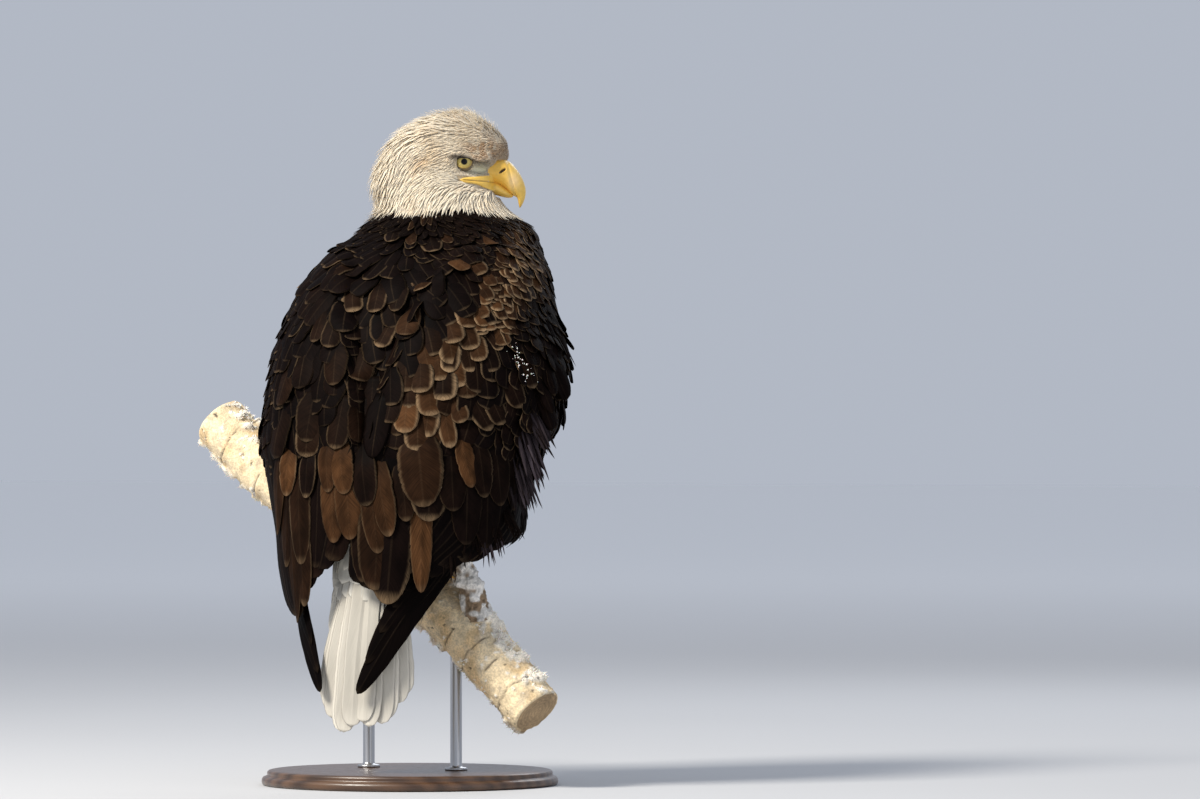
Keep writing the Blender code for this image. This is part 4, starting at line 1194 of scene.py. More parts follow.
# single feathers of the back that stand out, seen from behind:
# across and height of root and tip, width, paleness, strength of the pale edge
SINGLE_FEATHERS = (
    (-148, 466, -158, 391, 47, 0.05, 0.15), (-112, 474, -114, 410, 41, 0.06, 0.3),
    (-114, 452, -117, 393, 38, 0.10, 0.6), (-76, 468, -82, 402, 33, 0.06, 0.4),
    (-60, 460, -64, 410, 28, 0.10, 0.1), (2, 478, -1, 421, 33, 0.85, 0.8),
    (24, 492, 31, 441, 34, 0.45, 0.9), (12, 450, 15, 401, 34, 0.22, 0.9),
    (16, 512, 18, 468, 33, 0.18, 1.0), (-4, 482, 10, 446, 26, 0.55, 0.9), (7, 572, 7, 532, 31, 0.28, 0.3),
    (-64, 604, -58, 556, 29, 0.10, 0.95), (-34, 602, -31, 559, 27, 0.08, 0.6),
    (-9, 602, -9, 560, 28, 0.06, 0.4), (10, 614, 24, 577, 26, 0.25, 0.6),
    (-17, 672, -9, 632, 28, 0.02, 0.55), (24, 660, 32, 618, 29, 0.02, 0.6),
    (-101, 572, -97, 525, 23, 0.08, 0.35), (-84, 566, -85, 519, 27, 0.06, 0.4),
    (-62, 572, -62, 527, 29, 0.03, 0.35), (-18, 560, -31, 521, 27, 0.12, 0.9),
    (-122, 530, -114, 472, 35, 0.03, 0.1), (-86, 530, -78, 476, 37, 0.08, 0.25),
    (-45, 530, -58, 480, 35, 0.10, 0.35), (50, 634, 66, 602, 23, 0.55, 0.3),
    (83, 662, 94, 629, 19, 0.5, 0.3), (-138, 516, -151, 453, 41, 0.10, 0.1),
    (-30, 470, -37, 392, 38, 0.0, 0.0), (76, 470, 98, 425, 31, 0.05, 0.75),
    (94, 476, 113, 432, 26, 0.05, 0.6), (116, 500, 134, 452, 27, 0.05, 0.5),
    (128, 526, 148, 474, 25, 0.08, 0.5), (52, 470, 66, 434, 24, 0.3, 0.7),
    (42, 462, 52, 404, 22, 0.45, 0.9), (-130, 600, -128, 566, 20, 0.3, 0.7),
    (-112, 622, -112, 586, 18, 0.2, 0.9),
)

# loose feathers at the right side, the flank and the ragged edge of the right wing, seen from behind:
# middle of the roots and of the tips, spread, number, width, greyness
LOOSE_TUFTS = (
    (164, 570, 190, 504, 5, 3, 24, 0.0), (160, 540, 183, 478, 6, 3, 22, 0.1),
    (164, 512, 186, 456, 5, 3, 22, 0.0), (156, 478, 178, 424, 5, 3, 20, 0.0),
    (164, 556, 186, 508, 9, 6, 9, 0.1), (164, 500, 183, 462, 8, 6, 9, 0.0),
    (146, 446, 166, 406, 8, 12, 9, 0.4), (138, 420, 156, 368, 8, 20, 8, 1.0),
    (132, 392, 147, 338, 7, 18, 7, 1.0), (126, 366, 133, 328, 6, 8, 6, 0.3),
    (116, 336, 130, 300, 6, 9, 6, 0.0), (100, 320, 106, 290, 7, 7, 6, 0.0),
    (82, 310, 84, 284, 7, 7, 6, 0.0), (66, 298, 66, 274, 7, 6, 6, 0.0), (50, 282, 52, 254, 6, 5, 6, 0.0),
    (92, 306, 98, 268, 6, 6, 4, 1.0), (104, 306, 112, 276, 4, 3, 4, 1.0),
)


def single_feathers(form):
    """Roots on the form, direction in space and sizes of the feathers of the table."""
    roots, ways, rest = [], [], []
    for across, height, tip_across, tip_height, width, pale, edge in SINGLE_FEATHERS:
        depth = form.from_behind(across, height)
        if depth is not None:
            way = np.array([tip_across - across, tip_height - height], float)
            roots.append(ACROSS * across + UP * height + AWAY * depth)
            ways.append(ACROSS * way[0] + UP * way[1])
            rest.append((width, np.hypot(*way), pale, edge))
    return np.array(roots), unit(np.array(ways)), np.array(rest)


def beneath_singles(places, normals):
    """Which roots lie behind one of the table's feathers, which lie on top."""
    across, height = in_view(places)
    hidden = np.zeros(len(places), bool)
    for single in np.array(SINGLE_FEATHERS, float):
        root, tip, width = single[:2], single[2:4], single[4]
        path = np.array([mix(root, tip, 0.1), mix(root, tip, 0.9)])
        hidden |= near_path(across, height, path) < 0.5 * width
    return hidden & (normals @ AWAY < 0.0)


class EAGLE_OT_body_feathers(bpy.types.Operator):
    """Contour feathers of the back, breast, sides and the coverts of the wings"""

    bl_idname = "eagle.body_feathers"
    bl_label = "Body feathers"

    def execute(self, context):
        rng = generator(2)
        form = coat_form()
        fixed, ways, rest = single_feathers(form)
        spots = form.candidates(90000, rng)
        spots = spots[(spots[:, 2] < 722.0) & (spots[:, 2] < collar_height(spots, 0.4) - 1.0)]
        width = np.concatenate([rest[:, 0], body_width(spots, form.nearest(spots)[1])])
        spots = np.concatenate([fixed, spots])
        keep = thinned(spots, width * 0.54)
        own = np.arange(len(spots)) < len(fixed)
        index = np.minimum(keep, len(fixed) - 1)
        roots, width, own = spots[keep], width[keep], own[keep]
        owner = owners(roots)
        kept = np.isin(owner, ("trunk", "neck", "head", "wing_left", "wing_right")) | own
        roots, width, own, owner, index = (a[kept] for a in (roots, width, own, owner, index))
        normals = form.nearest(roots)[1]
        count = len(roots)
        jitter = rng.normal(0.0, 0.12, count)
        ways = ways[index]

        def heading(p, n):
            field = turned(unit(level(body_heading(p, n), n)), n, jitter)
            return np.where(own[:, None], ways, field)

        neck = ramp(640.0, 690.0, roots[:, 2])
        length = width * (1.42 + 0.4 * rng.random(count)) * mix(1.0, 1.7, neck)
        length = np.where(own, rest[index, 1], length)
        half = width * 0.5 * np.where(own, 1.0, 0.98 + 0.24 * rng.random(count))
        v = grades(12, 1.35)
        place, normal, side = traced(form, roots, heading, length, v, 0.75, 0.35)
        stand = 1.0 + 2.4 * rng.random(count) ** 1.7
        stand = np.where(own, 4.4, np.where(beneath_singles(roots, normals), 0.3, stand))
        across, height = in_view(roots)
        loose = ramp(118.0, 140.0, across) * ramp(330.0, 380.0, height) * ramp(590.0, 560.0, height)
        stand = stand + 8.0 * loose * rng.random(count) ** 2
        lift = -2.6 + (2.6 + stand)[:, None] * v[None, :] ** 0.9
        pointed = np.maximum(neck[:, None] * 0.9, 0.4 * (rng.random(count) < 0.2)[:, None])
        shape = mix(outline(v, BROAD)[None, :], outline(v, LANCE)[None, :], pointed)
        waver = scattered_over(np.arange(count)[:, None], np.arange(len(v)), 3, 4) - 0.5
        outer = torn(half[:, None] * shape * (1.0 + 0.07 * waver) + 0.02, v, rng, 1, 0.10)
        tones, edge = dark_colours(roots, normals, rng)
        tan = mix(mix(colour("dark"), colour("brown"), 0.2), colour("tan"), 0.85 * rest[index, 2][:, None])
        tones = np.where(own[:, None], tan, tones)
        edge = np.where(own, 0.8 * rest[index, 3], edge)
        trim = trims(edge, rng.random(count), 0.2 + 0.3 * rng.random(count))
        roll = rng.normal(0.0, 0.12, count)
        left, right = (np.isin(owner, ("wing_" + side, "secondaries_" + side)) for side in SIDES)
        behind = normals[:, 1] < 0.15
        groups = {"back_feathers": ~(left | right) & behind, "breast_feathers": ~(left | right) & ~behind,
                  "covert_feathers_left": left, "covert_feathers_right": right}
        for name, mask in groups.items():
            vanes = Vanes()
            vanes.add(place[mask], normal[mask], side[mask], outer[mask], lift[mask], FULL,
                      unwrapped(roots[mask]), tones[mask], trim[mask], 0.17, 0.35, 0.10, roll[mask], grade=v)
            vanes.finish(name, "dark_plumage")
        self.tufts(form, rng)
        return {"FINISHED"}

    def tufts(self, form, rng):
        """Loose slim feathers that hang free of the coat."""
        starts, ways, rest = [], [], []
        for across, height, tip_across, tip_height, spread, many, width, grey in LOOSE_TUFTS:
            slim = width if width > 15.0 else 0.55 * width
            for _ in range(many if width > 15.0 else 2 * many):
                a, h = across + rng.normal(0, spread * 0.5), height + rng.normal(0, spread * 0.7)
                depth = form.from_behind(a, h)
                if depth is not None:
                    way = ACROSS * (tip_across - across + rng.normal(0, 3.0)) + UP * (tip_height - height)
                    starts.append(ACROSS * a + UP * h + AWAY * (depth + rng.uniform(-1.0, 1.5)))
                    ways.append(way * rng.uniform(0.55, 1.15) + AWAY * rng.normal(0, 3.0))
                    rest.append((slim * rng.uniform(0.7, 1.3), grey))
        starts, ways, rest = np.array(starts), np.array(ways), np.array(rest)
        count = len(starts)
        v = grades(12, 1.1)
        curl = ACROSS * rng.normal(0, 2.5, (count, 1)) - UP * rng.uniform(0, 3.0, (count, 1))
        place = starts[:, None] + ways[:, None] * v[None, :, None] + curl[:, None] * (v ** 2)[None, :, None]
        out = form.nearest(starts)[1]
        way = unit(np.gradient(place, axis=1))
        normal = unit(level(np.repeat(unit(out - AWAY)[:, None], len(v), axis=1), way))
        side = np.cross(way, normal)
        shape = np.where(rest[:, :1] > 15.0, outline(v, ROUND)[None], outline(v, SHAG)[None])
        width = torn(rest[:, :1] * 0.5 * shape + 0.02, v, rng, 2, 0.4)
        tones = mix(mix(colour("dark"), colour("brown"), 0.4), TONE["tuft_grey"],
                    rest[:, 1:] * rng.random((count, 1)))
        trim = trims(0.15 * rng.random(count), rng.random(count), 0.2)
        vanes = Vanes()
        vanes.add(place, normal, side, width, 0.4 * np.ones((count, len(v))), NARROW,
                  unwrapped(starts), tones, trim, 0.2, 0.3, roll=rng.normal(0, 0.2, count), grade=v)
        vanes.finish("loose_tufts", "dark_plumage")


# ---- flight feathers ----

# height: middle in Y, reach to the right, left, front and back of the folded wings
WING_STATIONS = (
    (110.0, -68.0, 60.0, 66.0, 25.0, 78.0), (150.0, -62.0, 84.0, 92.0, 30.0, 86.0),
    (210.0, -52.0, 120.0, 128.0, 40.0, 98.0), (260.0, -42.0, 143.0, 147.0, 50.0, 108.0),
    (310.0, -32.0, 156.0, 156.0, 60.0, 117.0), (360.0, -20.0, 170.0, 170.0, 96.0, 126.0),
    (410.0, -8.0, 184.0, 182.0, 128.0, 133.0), (460.0, 0.0, 187.0, 177.0, 148.0, 135.0),
    (510.0, 10.0, 186.0, 173.0, 162.0, 135.0), (560.0, 24.0, 165.0, 160.0, 160.0, 132.0),
    (600.0, 42.0, 152.0, 146.0, 152.0, 127.0),
)
# height: bearing of a wing's front edge, and how far its rear edge is from the middle plane
WING_EDGES = {
    "right": ((226.0, -48.0, 4.0), (262.0, -34.0, -2.0), (300.0, -6.0, -3.0), (340.0, 12.0, 0.0),
              (395.0, 27.0, 3.0), (450.0, 40.0, 9.0), (510.0, 50.0, 26.0), (580.0, 54.0, 46.0)),
    "left": ((196.0, -30.0, 70.0), (240.0, -16.0, 52.0), (300.0, -6.0, 26.0), (350.0, 4.0, 14.0),
             (404.0, 12.0, 8.0), (450.0, 34.0, 10.0), (510.0, 48.0, 26.0), (580.0, 54.0, 46.0)),
}
# heights of the edges of the coverts and of the secondaries: at the rear of the wing, then at its front
COVERT_EDGE = {"right": (398.0, 372.0), "left": (398.0, 388.0)}
SECONDARY_EDGE = {"right": (238.0, 277.0), "left": (256.0, 200.0)}
# the middle line of each bundle of folded primaries
PRIMARY_PATHS = {
    "right": ((104.0, -62.0, 330.0), (78.0, -112.0, 262.0), (42.0, -140.0, 200.0), (-7.0, -151.0, 116.0)),
    "left": ((-126.0, -48.0, 322.0), (-114.0, -80.0, 262.0), (-92.0, -110.0, 200.0), (-56.0, -138.0, 116.0)),
}
# how far along the path each primary ends, and how far it lies from the path's middle there
PRIMARY_TIPS = {
    "right": ((1.0, 4.0), (0.86, -5.0), (0.74, -9.0), (0.62, -12.0), (0.52, -15.0)),
    "left": ((1.0, 2.0), (0.90, -3.0), (0.79, -6.0), (0.66, -8.0), (0.55, -10.0)),
}


def read(table, heights):
    """The columns of a table of heights, read smoothly at many heights."""
    table = np.asarray(table, float)
    h, rows = table[:, 0], table[:, 1:]
    lower, upper = np.r_[0, np.arange(len(h) - 1)], np.r_[np.arange(1, len(h)), len(h) - 1]
    slope = (rows[upper] - rows[lower]) / (h[upper] - h[lower])[:, None]
    heights = np.clip(heights, h[0], h[-1])
    k = np.clip(np.searchsorted(h, heights) - 1, 0, len(h) - 2)
    gap = (h[k + 1] - h[k])[..., None]
    t = (heights - h[k])[..., None] / gap
    return (rows[k] * (2 * t ** 3 - 3 * t ** 2 + 1) + slope[k] * gap * (t ** 3 - 2 * t ** 2 + t)
            + rows[k + 1] * (3 * t ** 2 - 2 * t ** 3) + slope[k + 1] * gap * (t ** 3 - t ** 2))


def wing_place(side, height, share, out=0.0):
    """Places on the folded wing, share 0 at its front edge and 1 at its rear edge, and normals there."""
    height, share = np.broadcast_arrays(np.asarray(height, float), np.asarray(share, float))
    edges = read(WING_EDGES[side], height)
    form = read(WING_STATIONS, height)
    half = form[..., 1 if side == "right" else 2]
    part = np.clip(edges[..., 1] / half, -0.6, 0.95)
    cosine = np.abs(part) ** 1.1 * np.sign(part)
    rear = -np.arctan2(np.sqrt(1 - cosine ** 2), cosine)
    turn = mix(np.radians(edges[..., 0]), rear, share)

    def at(angle):
        c, s = np.cos(angle), np.sin(angle)
        reach = np.where(s > 0, form[..., 3], form[..., 4])
        x = half * np.abs(c) ** (2 / 2.2) * np.sign(c) * SIDES[side]
        return np.stack([x, form[..., 0] + reach * np.abs(s) ** (2 / 2.2) * np.sign(s), height], axis=-1)

    along = unit(at(turn + 0.02) - at(turn - 0.02)) * SIDES[side]
    normal = np.cross(along, UP)
    return tucked(at(turn) + normal * np.asarray(out)[..., None]), normal


def seen_on_wing(side, across, height, out):
    """The same as wing_place, for points given by where they are seen from behind."""
    share = np.linspace(-0.1, 1.3, 160)
    flat, _ = wing_place(side, height.reshape(-1, 1), share[None])
    seen = (flat @ ACROSS) * -SIDES[side]
    found = np.empty(len(seen))
    for i, (row, wanted) in enumerate(zip(seen, across.ravel() * -SIDES[side])):
        first = int(np.argmin(row))
        found[i] = np.interp(wanted, np.maximum.accumulate(row[first:]), share[first:])
    return wing_place(side, height, found.reshape(height.shape), out)


def secondary_edge(side, share):
    rear, outer = SECONDARY_EDGE[side]
    edge = mix(COVERT_EDGE[side][1] - 60.0, outer, ramp(0.0, 0.30, share))
    return mix(edge, mix(outer, rear, share), ramp(0.0, 0.45, share))


def atlas(count, first):
    """Corners of a row of separate cells of the bake map, for large feathers."""
    index = first + np.arange(count)
    return np.stack([0.04 + 0.06 * (index % 16), 0.03 + 0.06 * (index // 16)], axis=-1)


# share across the left wing, and height of the tips of its secondaries
LEFT_SECONDARY_TIPS = ((0, 0.2, 0.45, 0.75, 1), (330, 222, 200, 232, 280))

# long inner wing feathers that stand out, seen from behind:
# across and height of root and tip, width, paleness, strength of the edge, how far out it lies
TERTIALS = (
    (-156, 412, -158, 300, 25, 0.16, 0.2, 1.0), (-141, 412, -143, 347, 23, 0.62, 0.5, 4.2),
    (-118, 408, -120, 345, 24, 0.02, 0.5, 3.2), (-131, 390, -126, 266, 30, 0.10, 0.4, 2.4),
    (-142, 344, -134, 196, 28, 0.12, 0.3, 0.4), (-128, 326, -123, 216, 27, 0.10, 0.4, 1.6),
    (-146, 380, -147, 262, 24, 0.08, 0.3, 0.2), (-106, 400, -110, 262, 27, 0.0, 0.1, 0.6),
    (-96, 420, -92, 352, 22, 0.30, 0.3, 4.6), (-80, 420, -72, 350, 27, 0.50, 0.3, 5.4),
    (-90, 396, -86, 292, 30, 0.40, 0.2, 3.0), (-72, 392, -66, 296, 30, 0.42, 0.2, 3.8),
    (-36, 400, -20, 300, 27, 0.32, 0.4, 4.4), (-44, 384, -33, 280, 27, 0.22, 0.3, 3.4),
    (-54, 410, -46, 336, 30, 0.03, 0.3, 5.0), (-30, 368, -38, 236, 44, 0.10, 0.3, 2.6),
    (-14, 352, -24, 220, 46, 0.0, 0.7, 1.6), (17, 380, 17, 234, 23, 0.60, 0.3, 0.8),
    (-52, 352, -52, 246, 28, 0.03, 0.2, 1.8), (-6, 400, 0, 318, 26, 0.06, 0.3, 2.6),
    (13, 436, 21, 335, 47, 0.14, 0.4, 5.8), (28, 410, 26, 318, 42, 0.02, 0.6, 4.4),
    (64, 424, 76, 358, 19, 0.62, 0.4, 5.4), (84, 420, 91, 346, 24, 0.03, 0.5, 4.6),
    (52, 410, 55, 330, 32, 0.02, 0.25, 3.6), (104, 420, 110, 336, 28, 0.02, 0.25, 3.4),
    (124, 420, 126, 330, 27, 0.02, 0.2, 3.0), (72, 390, 70, 290, 32, 0.0, 0.12, 1.4),
    (96, 390, 94, 286, 32, 0.0, 0.12, 1.2),
)


class EAGLE_OT_flight_feathers(bpy.types.Operator):
    """Secondaries, tertials and the folded primaries of both wings"""

    bl_idname = "eagle.flight_feathers"
    bl_label = "Flight feathers"

    def execute(self, context):
        rng = generator(5)
        for side in SIDES:
            vanes = Vanes()
            self.primaries(vanes, side, rng)
            vanes.finish("primary_feathers_" + side, "flight_plumage", ("primaries_" + side,))
            vanes = Vanes()
            self.secondaries(vanes, side, rng)
            vanes.finish("secondary_feathers_" + side, "flight_plumage", ("secondaries_" + side,))
        vanes = Vanes()
        self.tertials(vanes, rng)
        vanes.finish("tertial_feathers", "flight_plumage")
        return {"FINISHED"}

    def dress(self, vanes, place, normal, width, lift, v, tones, edge, first, rng, kind,
              ridge=0.45, camber=0.10, roll=None, worn=0.06):
        """Long feathers in one go; first: their first cell of the bake map. worn: how ragged they are."""
        count, rows = place.shape[:2]
        way = unit(np.gradient(place, axis=1))
        side = unit(np.cross(way, normal))
        normal = np.cross(side, way)
        waver = scattered_over(np.arange(count)[:, None] + first, np.arange(rows), 7, 6) - 0.5
        outer = width[:, None] * 0.5 * outline(v, kind)[None] * (1 + 0.05 * waver) + 0.02
        outer = torn(outer, v, rng, 3, worn)
        trim = trims(edge, rng.random(count), 0.22)
        vanes.add(place, normal, side, outer, lift, WIDE, atlas(count, first), tones, trim,
                  camber, 0.45, ridge, roll, patch=0.055, grade=v)

    def secondaries(self, vanes, side, rng):
        count = 15
        share = np.linspace(0.02, 0.985, count)
        tip = secondary_edge(side, share) + rng.normal(0, 4.0, count)
        if side == "left":
            tip = np.interp(share, *LEFT_SECONDARY_TIPS) + rng.normal(0, 3.0, count)
        root = mix(COVERT_EDGE[side][1], COVERT_EDGE[side][0], share) + 34.0
        v = grades(22, 1.25)
        height = root[:, None] + (tip - root)[:, None] * v[None]
        bend = share[:, None] + (0.5 - share[:, None]) * 0.10 * (1 - v[None])
        place, normal = wing_place(side, height, bend, -5.5 + 3.2 * share[:, None] * np.ones_like(v)[None])
        lift = 1.4 * v[None] ** 2 * np.ones((count, 1))
        tones = mix(colour("dark"), colour("brown"), (0.9 * rng.random(count) * (side == "left"))[:, None])
        self.dress(vanes, place, normal, np.full(count, 36.0), lift, v, tones,
                   0.02 + 0.10 * rng.random(count) ** 2, 0 if side == "left" else 16, rng, LONG)

    def primaries(self, vanes, side, rng):
        tips = np.array(PRIMARY_TIPS[side])
        count = len(tips)
        v = grades(26, 1.2)
        path = through(PRIMARY_PATHS[side], 200)
        along = (v[None] * tips[:, :1]) * 199
        low = np.minimum(along.astype(int), 198)
        middle = mix(path[low], path[low + 1], (along - low)[..., None])
        tangent = unit(np.gradient(middle, axis=1))
        out = np.stack([middle[..., 0] * 0.55, middle[..., 1] + 40.0, np.zeros_like(along)], axis=-1)
        out = unit(level(unit(out), tangent))
        across = unit(np.cross(tangent, out)) * SIDES[side]
        order = np.arange(count)[:, None]
        drift = tips[:, 1:2] * v[None] ** 1.5 + (order - 2.0) * -4.0 * (1 - v[None])
        place = middle - across * drift[..., None] + out * (order * 0.9 - 2.0)[..., None]
        width = np.full(count, 36.0 if side == "right" else 31.0)
        tones = mix(colour("dark"), colour("brown"), (0.04 + 0.10 * rng.random(count))[:, None]) * 0.7
        self.dress(vanes, place, out, width, 0.2 * np.ones((count, 1)) * v[None], v, tones,
                   np.full(count, 0.03), 32 if side == "left" else 40, rng, SLIM, 0.7, 0.12)

    def tertials(self, vanes, rng):
        table = np.array(TERTIALS, float)
        v = grades(36, 1.25)
        across = table[:, 0:1] + (table[:, 2:3] - table[:, 0:1]) * v[None] ** 1.2
        height = table[:, 1:2] + (table[:, 3:4] - table[:, 1:2]) * v[None]
        out = table[:, 7:8] * 1.25 * ramp(-0.1, 0.5, v)[None] - 3.0 * ramp(0.35, 0.0, v)[None] - 1.5
        tones = mix(mix(colour("dark"), colour("brown"), 0.3), colour("tan"), table[:, 5:6])
        for number, side in enumerate(SIDES):
            own = (table[:, 0] < -54.0) == (side == "left")
            place, normal = seen_on_wing(side, across[own], height[own], out[own])
            count = int(own.sum())
            rims = table[own, 6] * np.where(table[own, 0] > 50.0, 0.4, 0.7)
            self.dress(vanes, place, normal, table[own, 4] * 1.18, np.zeros((count, len(v))), v, tones[own],
                       rims, 96 + 24 * number, rng, ROUND, 0.4, 0.12, rng.normal(0, 0.07, count), 0.07)


# ---- tail ----


TAIL_TOP, TAIL_TIP = 312.0, 67.0
TAIL_FEATHERS = (-0.86, -0.79, -0.70, -0.42, -0.34, -0.16, 0.10, 0.24, 0.50, 0.58, 0.78, 0.86)
# place across the tail, and height of the feathers' tips there
TAIL_TIPS = ((-0.86, -0.7, -0.4, -0.25, -0.1, 0.0, 0.1, 0.3, 0.5, 0.7, 0.86),
             (100.0, 84.0, 67.0, 68.0, 79.0, 88.0, 80.0, 72.0, 78.0, 92.0, 112.0))
# rows of long smooth coverts: places across the tail, height of their tips, how far out they lie
LONG_COVERTS = ((np.linspace(-0.88, 0.88, 7), 222.0, 3.0), (np.linspace(-0.7, 0.7, 5), 246.0, 5.0),
                (np.linspace(-0.6, 0.6, 4), 270.0, 7.0))


def tail_surface(share, height):
    """Places of the tail's fan: share from -1 to 1 across it."""
    share, height = np.broadcast_arrays(np.asarray(share, float), np.asarray(height, float))
    along = np.clip((TAIL_TOP - height) / (TAIL_TOP - TAIL_TIP), 0, 1)
    half = mix(26.0, 56.0, ramp(0.0, 0.75, along))
    y = mix(-108.0, -131.0, ramp(352.0, 150.0, height)) + 15.0 * share ** 2
    return np.stack([half * share - 10.0 * along ** 2, y, height], axis=-1)


class EAGLE_OT_tail(bpy.types.Operator):
    """Twelve tail feathers, and the white coverts above and below their roots"""

    bl_idname = "eagle.tail"
    bl_label = "Tail"

    def execute(self, context):
        rng = generator(6)
        share = np.array(TAIL_FEATHERS)
        count = len(share)
        v = grades(28, 1.3)
        tip = np.interp(share, *TAIL_TIPS)
        height = 330.0 + (tip - 330.0)[:, None] * v[None]
        place = tail_surface(share[:, None] * mix(0.75, 1.0, v[None]), height)
        place[..., 1] -= (3.0 - 4.6 * np.abs(share))[:, None]
        normal = np.zeros_like(place)
        normal[..., 0] = share[:, None] * 0.45
        normal[..., 1] = -1.0
        normal = unit(normal)
        side = unit(np.cross(unit(np.gradient(place, axis=1)), normal))
        waver = scattered_over(np.arange(count)[:, None], np.arange(len(v)), 9, 8) - 0.5
        width = 14.8 * outline(v, LONG)[None] * (1 + 0.07 * waver) + 0.02
        white = colour("cream") * np.array([0.93, 1.0, 1.14])
        # the white tail feathers are greyed to between a half and three quarters of the cream: painted shade,
        # as is the darker root of the tail_plumage finish
        tones = white[None] * (0.52 + 0.20 * rng.random(count))[:, None]
        trim = trims(0.3, rng.random(count), 0.9)
        vanes = Vanes()
        vanes.add(place, normal, side, width, 0.4 * v[None] * np.ones((count, 1)), WIDE, atlas(count, 48),
                  tones, trim, 0.10, 0.5, 0.8, np.sign(share) * -0.14, patch=0.055, grade=v)
        vanes.finish("tail_feathers", "tail_plumage", ("tail",))
        self.coverts(rng)
        return {"FINISHED"}

    def coverts(self, rng):
        """Short white feathers round the roots of the tail, and long smooth ones over them."""
        form = coat_form()
        spots = form.candidates(60000, rng)
        spots = spots[(spots[:, 2] < 352.0) & (spots[:, 1] < -40.0)]
        spots = spots[thinned(spots, np.full(len(spots), 19.0))]
        roots = spots[owners(spots) == "tail_coverts"]
        roots = roots[(form.nearest(roots)[1][:, 1] > -0.3) | (roots[:, 2] > 318.0)]
        count = len(roots)
        jitter = rng.normal(0, 0.08, count)

        def heading(p, n):
            return turned(unit(level(np.tile(-UP, (len(p), 1)), n)), n, jitter)

        v = grades(10, 1.2)
        length = 74.0 + 12.0 * rng.random(count)
        place, normal, side = traced(form, roots, heading, length, v, 0.95)
        width = (15.5 + 3.0 * rng.random(count))[:, None] * outline(v, BROAD)[None] + 0.02
        lift = -1.5 + 2.6 * v[None] * np.ones((count, 1))
        white = colour("cream") * np.array([0.84, 0.93, 1.10])
        # the white coverts are greyed to about half of the cream: painted shade
        tones = white[None] * (0.52 + 0.14 * rng.random(count))[:, None]
        trim = trims(0.4, rng.random(count), 0.3)
        vanes = Vanes()
        vanes.add(place, normal, side, width, lift, MIDDLING, unwrapped(roots),
                  tones, trim, 0.12, 0.35, 0.1, rng.normal(0, 0.05, count), grade=v)
        # long smooth ones that lie over the roots of the tail: place across it, root and tip, how far out
        rows = np.array([(x, 322.0, tip + rng.normal(0, 3.0), out) for line, tip, out in LONG_COVERTS
                         for x in line])
        count = len(rows)
        v = grades(22, 1.3)
        height = rows[:, 1:2] + (rows[:, 2:3] - rows[:, 1:2]) * v[None]
        place = tail_surface(rows[:, :1], height)
        place[..., 1] -= rows[:, 3:] * ramp(-0.1, 0.4, v)[None]
        normal = unit(np.stack([rows[:, :1] * 0.45 + 0 * height, -1.0 + 0 * height, 0 * height], axis=-1))
        side = unit(np.cross(unit(np.gradient(place, axis=1)), normal))
        width = (15.0 + 2.0 * rng.random(count))[:, None] * outline(v, LONG)[None] + 0.02
        # the long coverts too are greyed to about half of the cream: painted shade
        tones = white[None] * (0.54 + 0.14 * rng.random(count))[:, None]
        trim = trims(0.3, rng.random(count), 0.5)
        vanes.add(place, normal, side, width, 0.0 * height, WIDE, atlas(count, 144), tones, trim, 0.14, 0.4,
                  0.3, np.sign(rows[:, 0]) * -0.10, patch=0.055, grade=v)
        vanes.finish("tail_covert_feathers", "tail_plumage")


class EAGLE_OT_thigh_feathers(bpy.types.Operator):
    """Loose slim feathers of the thighs"""

    bl_idname = "eagle.thigh_feathers"
    bl_label = "Thigh feathers"

    def execute(self, context):
        rng = generator(3)
        form = coat_form()
        spots = form.candidates(60000, rng)
        spots = spots[spots[:, 2] < 440.0]
        spots = spots[thinned(spots, np.full(len(spots), 6.0))]
        owner = owners(spots)
        for side in SIDES:
            self.dress(form, rng, spots[owner == "thigh_" + side], "thigh_feathers_" + side)
        return {"FINISHED"}

    def dress(self, form, rng, roots, name):
        count = len(roots)
        jitter = rng.normal(0.0, 0.14, count)

        def heading(p, n):
            way = np.tile(-UP, (len(p), 1)) + np.array([0.0, -0.18, 0.0])
            return turned(unit(level(way, n)), n, jitter)

        length = 24.0 + 12.0 * rng.random(count)
        v = grades(7, 1.15)
        place, normal, side = traced(form, roots, heading, length, v, 0.92)
        lift = -2.2 + (3.4 + 1.5 * rng.random(count))[:, None] * v[None, :]
        width = (3.8 + 1.4 * rng.random(count))[:, None] * outline(v, SHAG)[None, :] + 0.02
        tones, edge = dark_colours(roots, form.nearest(roots)[1], rng)
        trim = trims(edge * 0.4, rng.random(count), 0.15)
        vanes = Vanes()
        vanes.add(place, normal, side, width, lift, NARROW, unwrapped(roots), tones,
                  trim, 0.25, 0.3, roll=rng.normal(0, 0.15, count), grade=v)
        vanes.finish(name, "dark_plumage")


# ---- bill ----

# forward distance from the neck, then height of the gape's upper edge, its lower edge and its crease
GAPE_TOP = ((21.5, 26, 35, 49, 58, 63, 70), (727.6, 729.6, 731.0, 732.4, 734.0, 735.0, 734.0))
GAPE_LOW = ((21.5, 26, 35, 42, 50, 60, 70), (726.8, 724.0, 722.6, 721.8, 718.2, 714.6, 714.0))
GAPE_CREASE = ((21.5, 40, 56, 64, 70), (727.2, 726.0, 725.2, 724.2, 722.6))
GAPE_FAR = 90.0

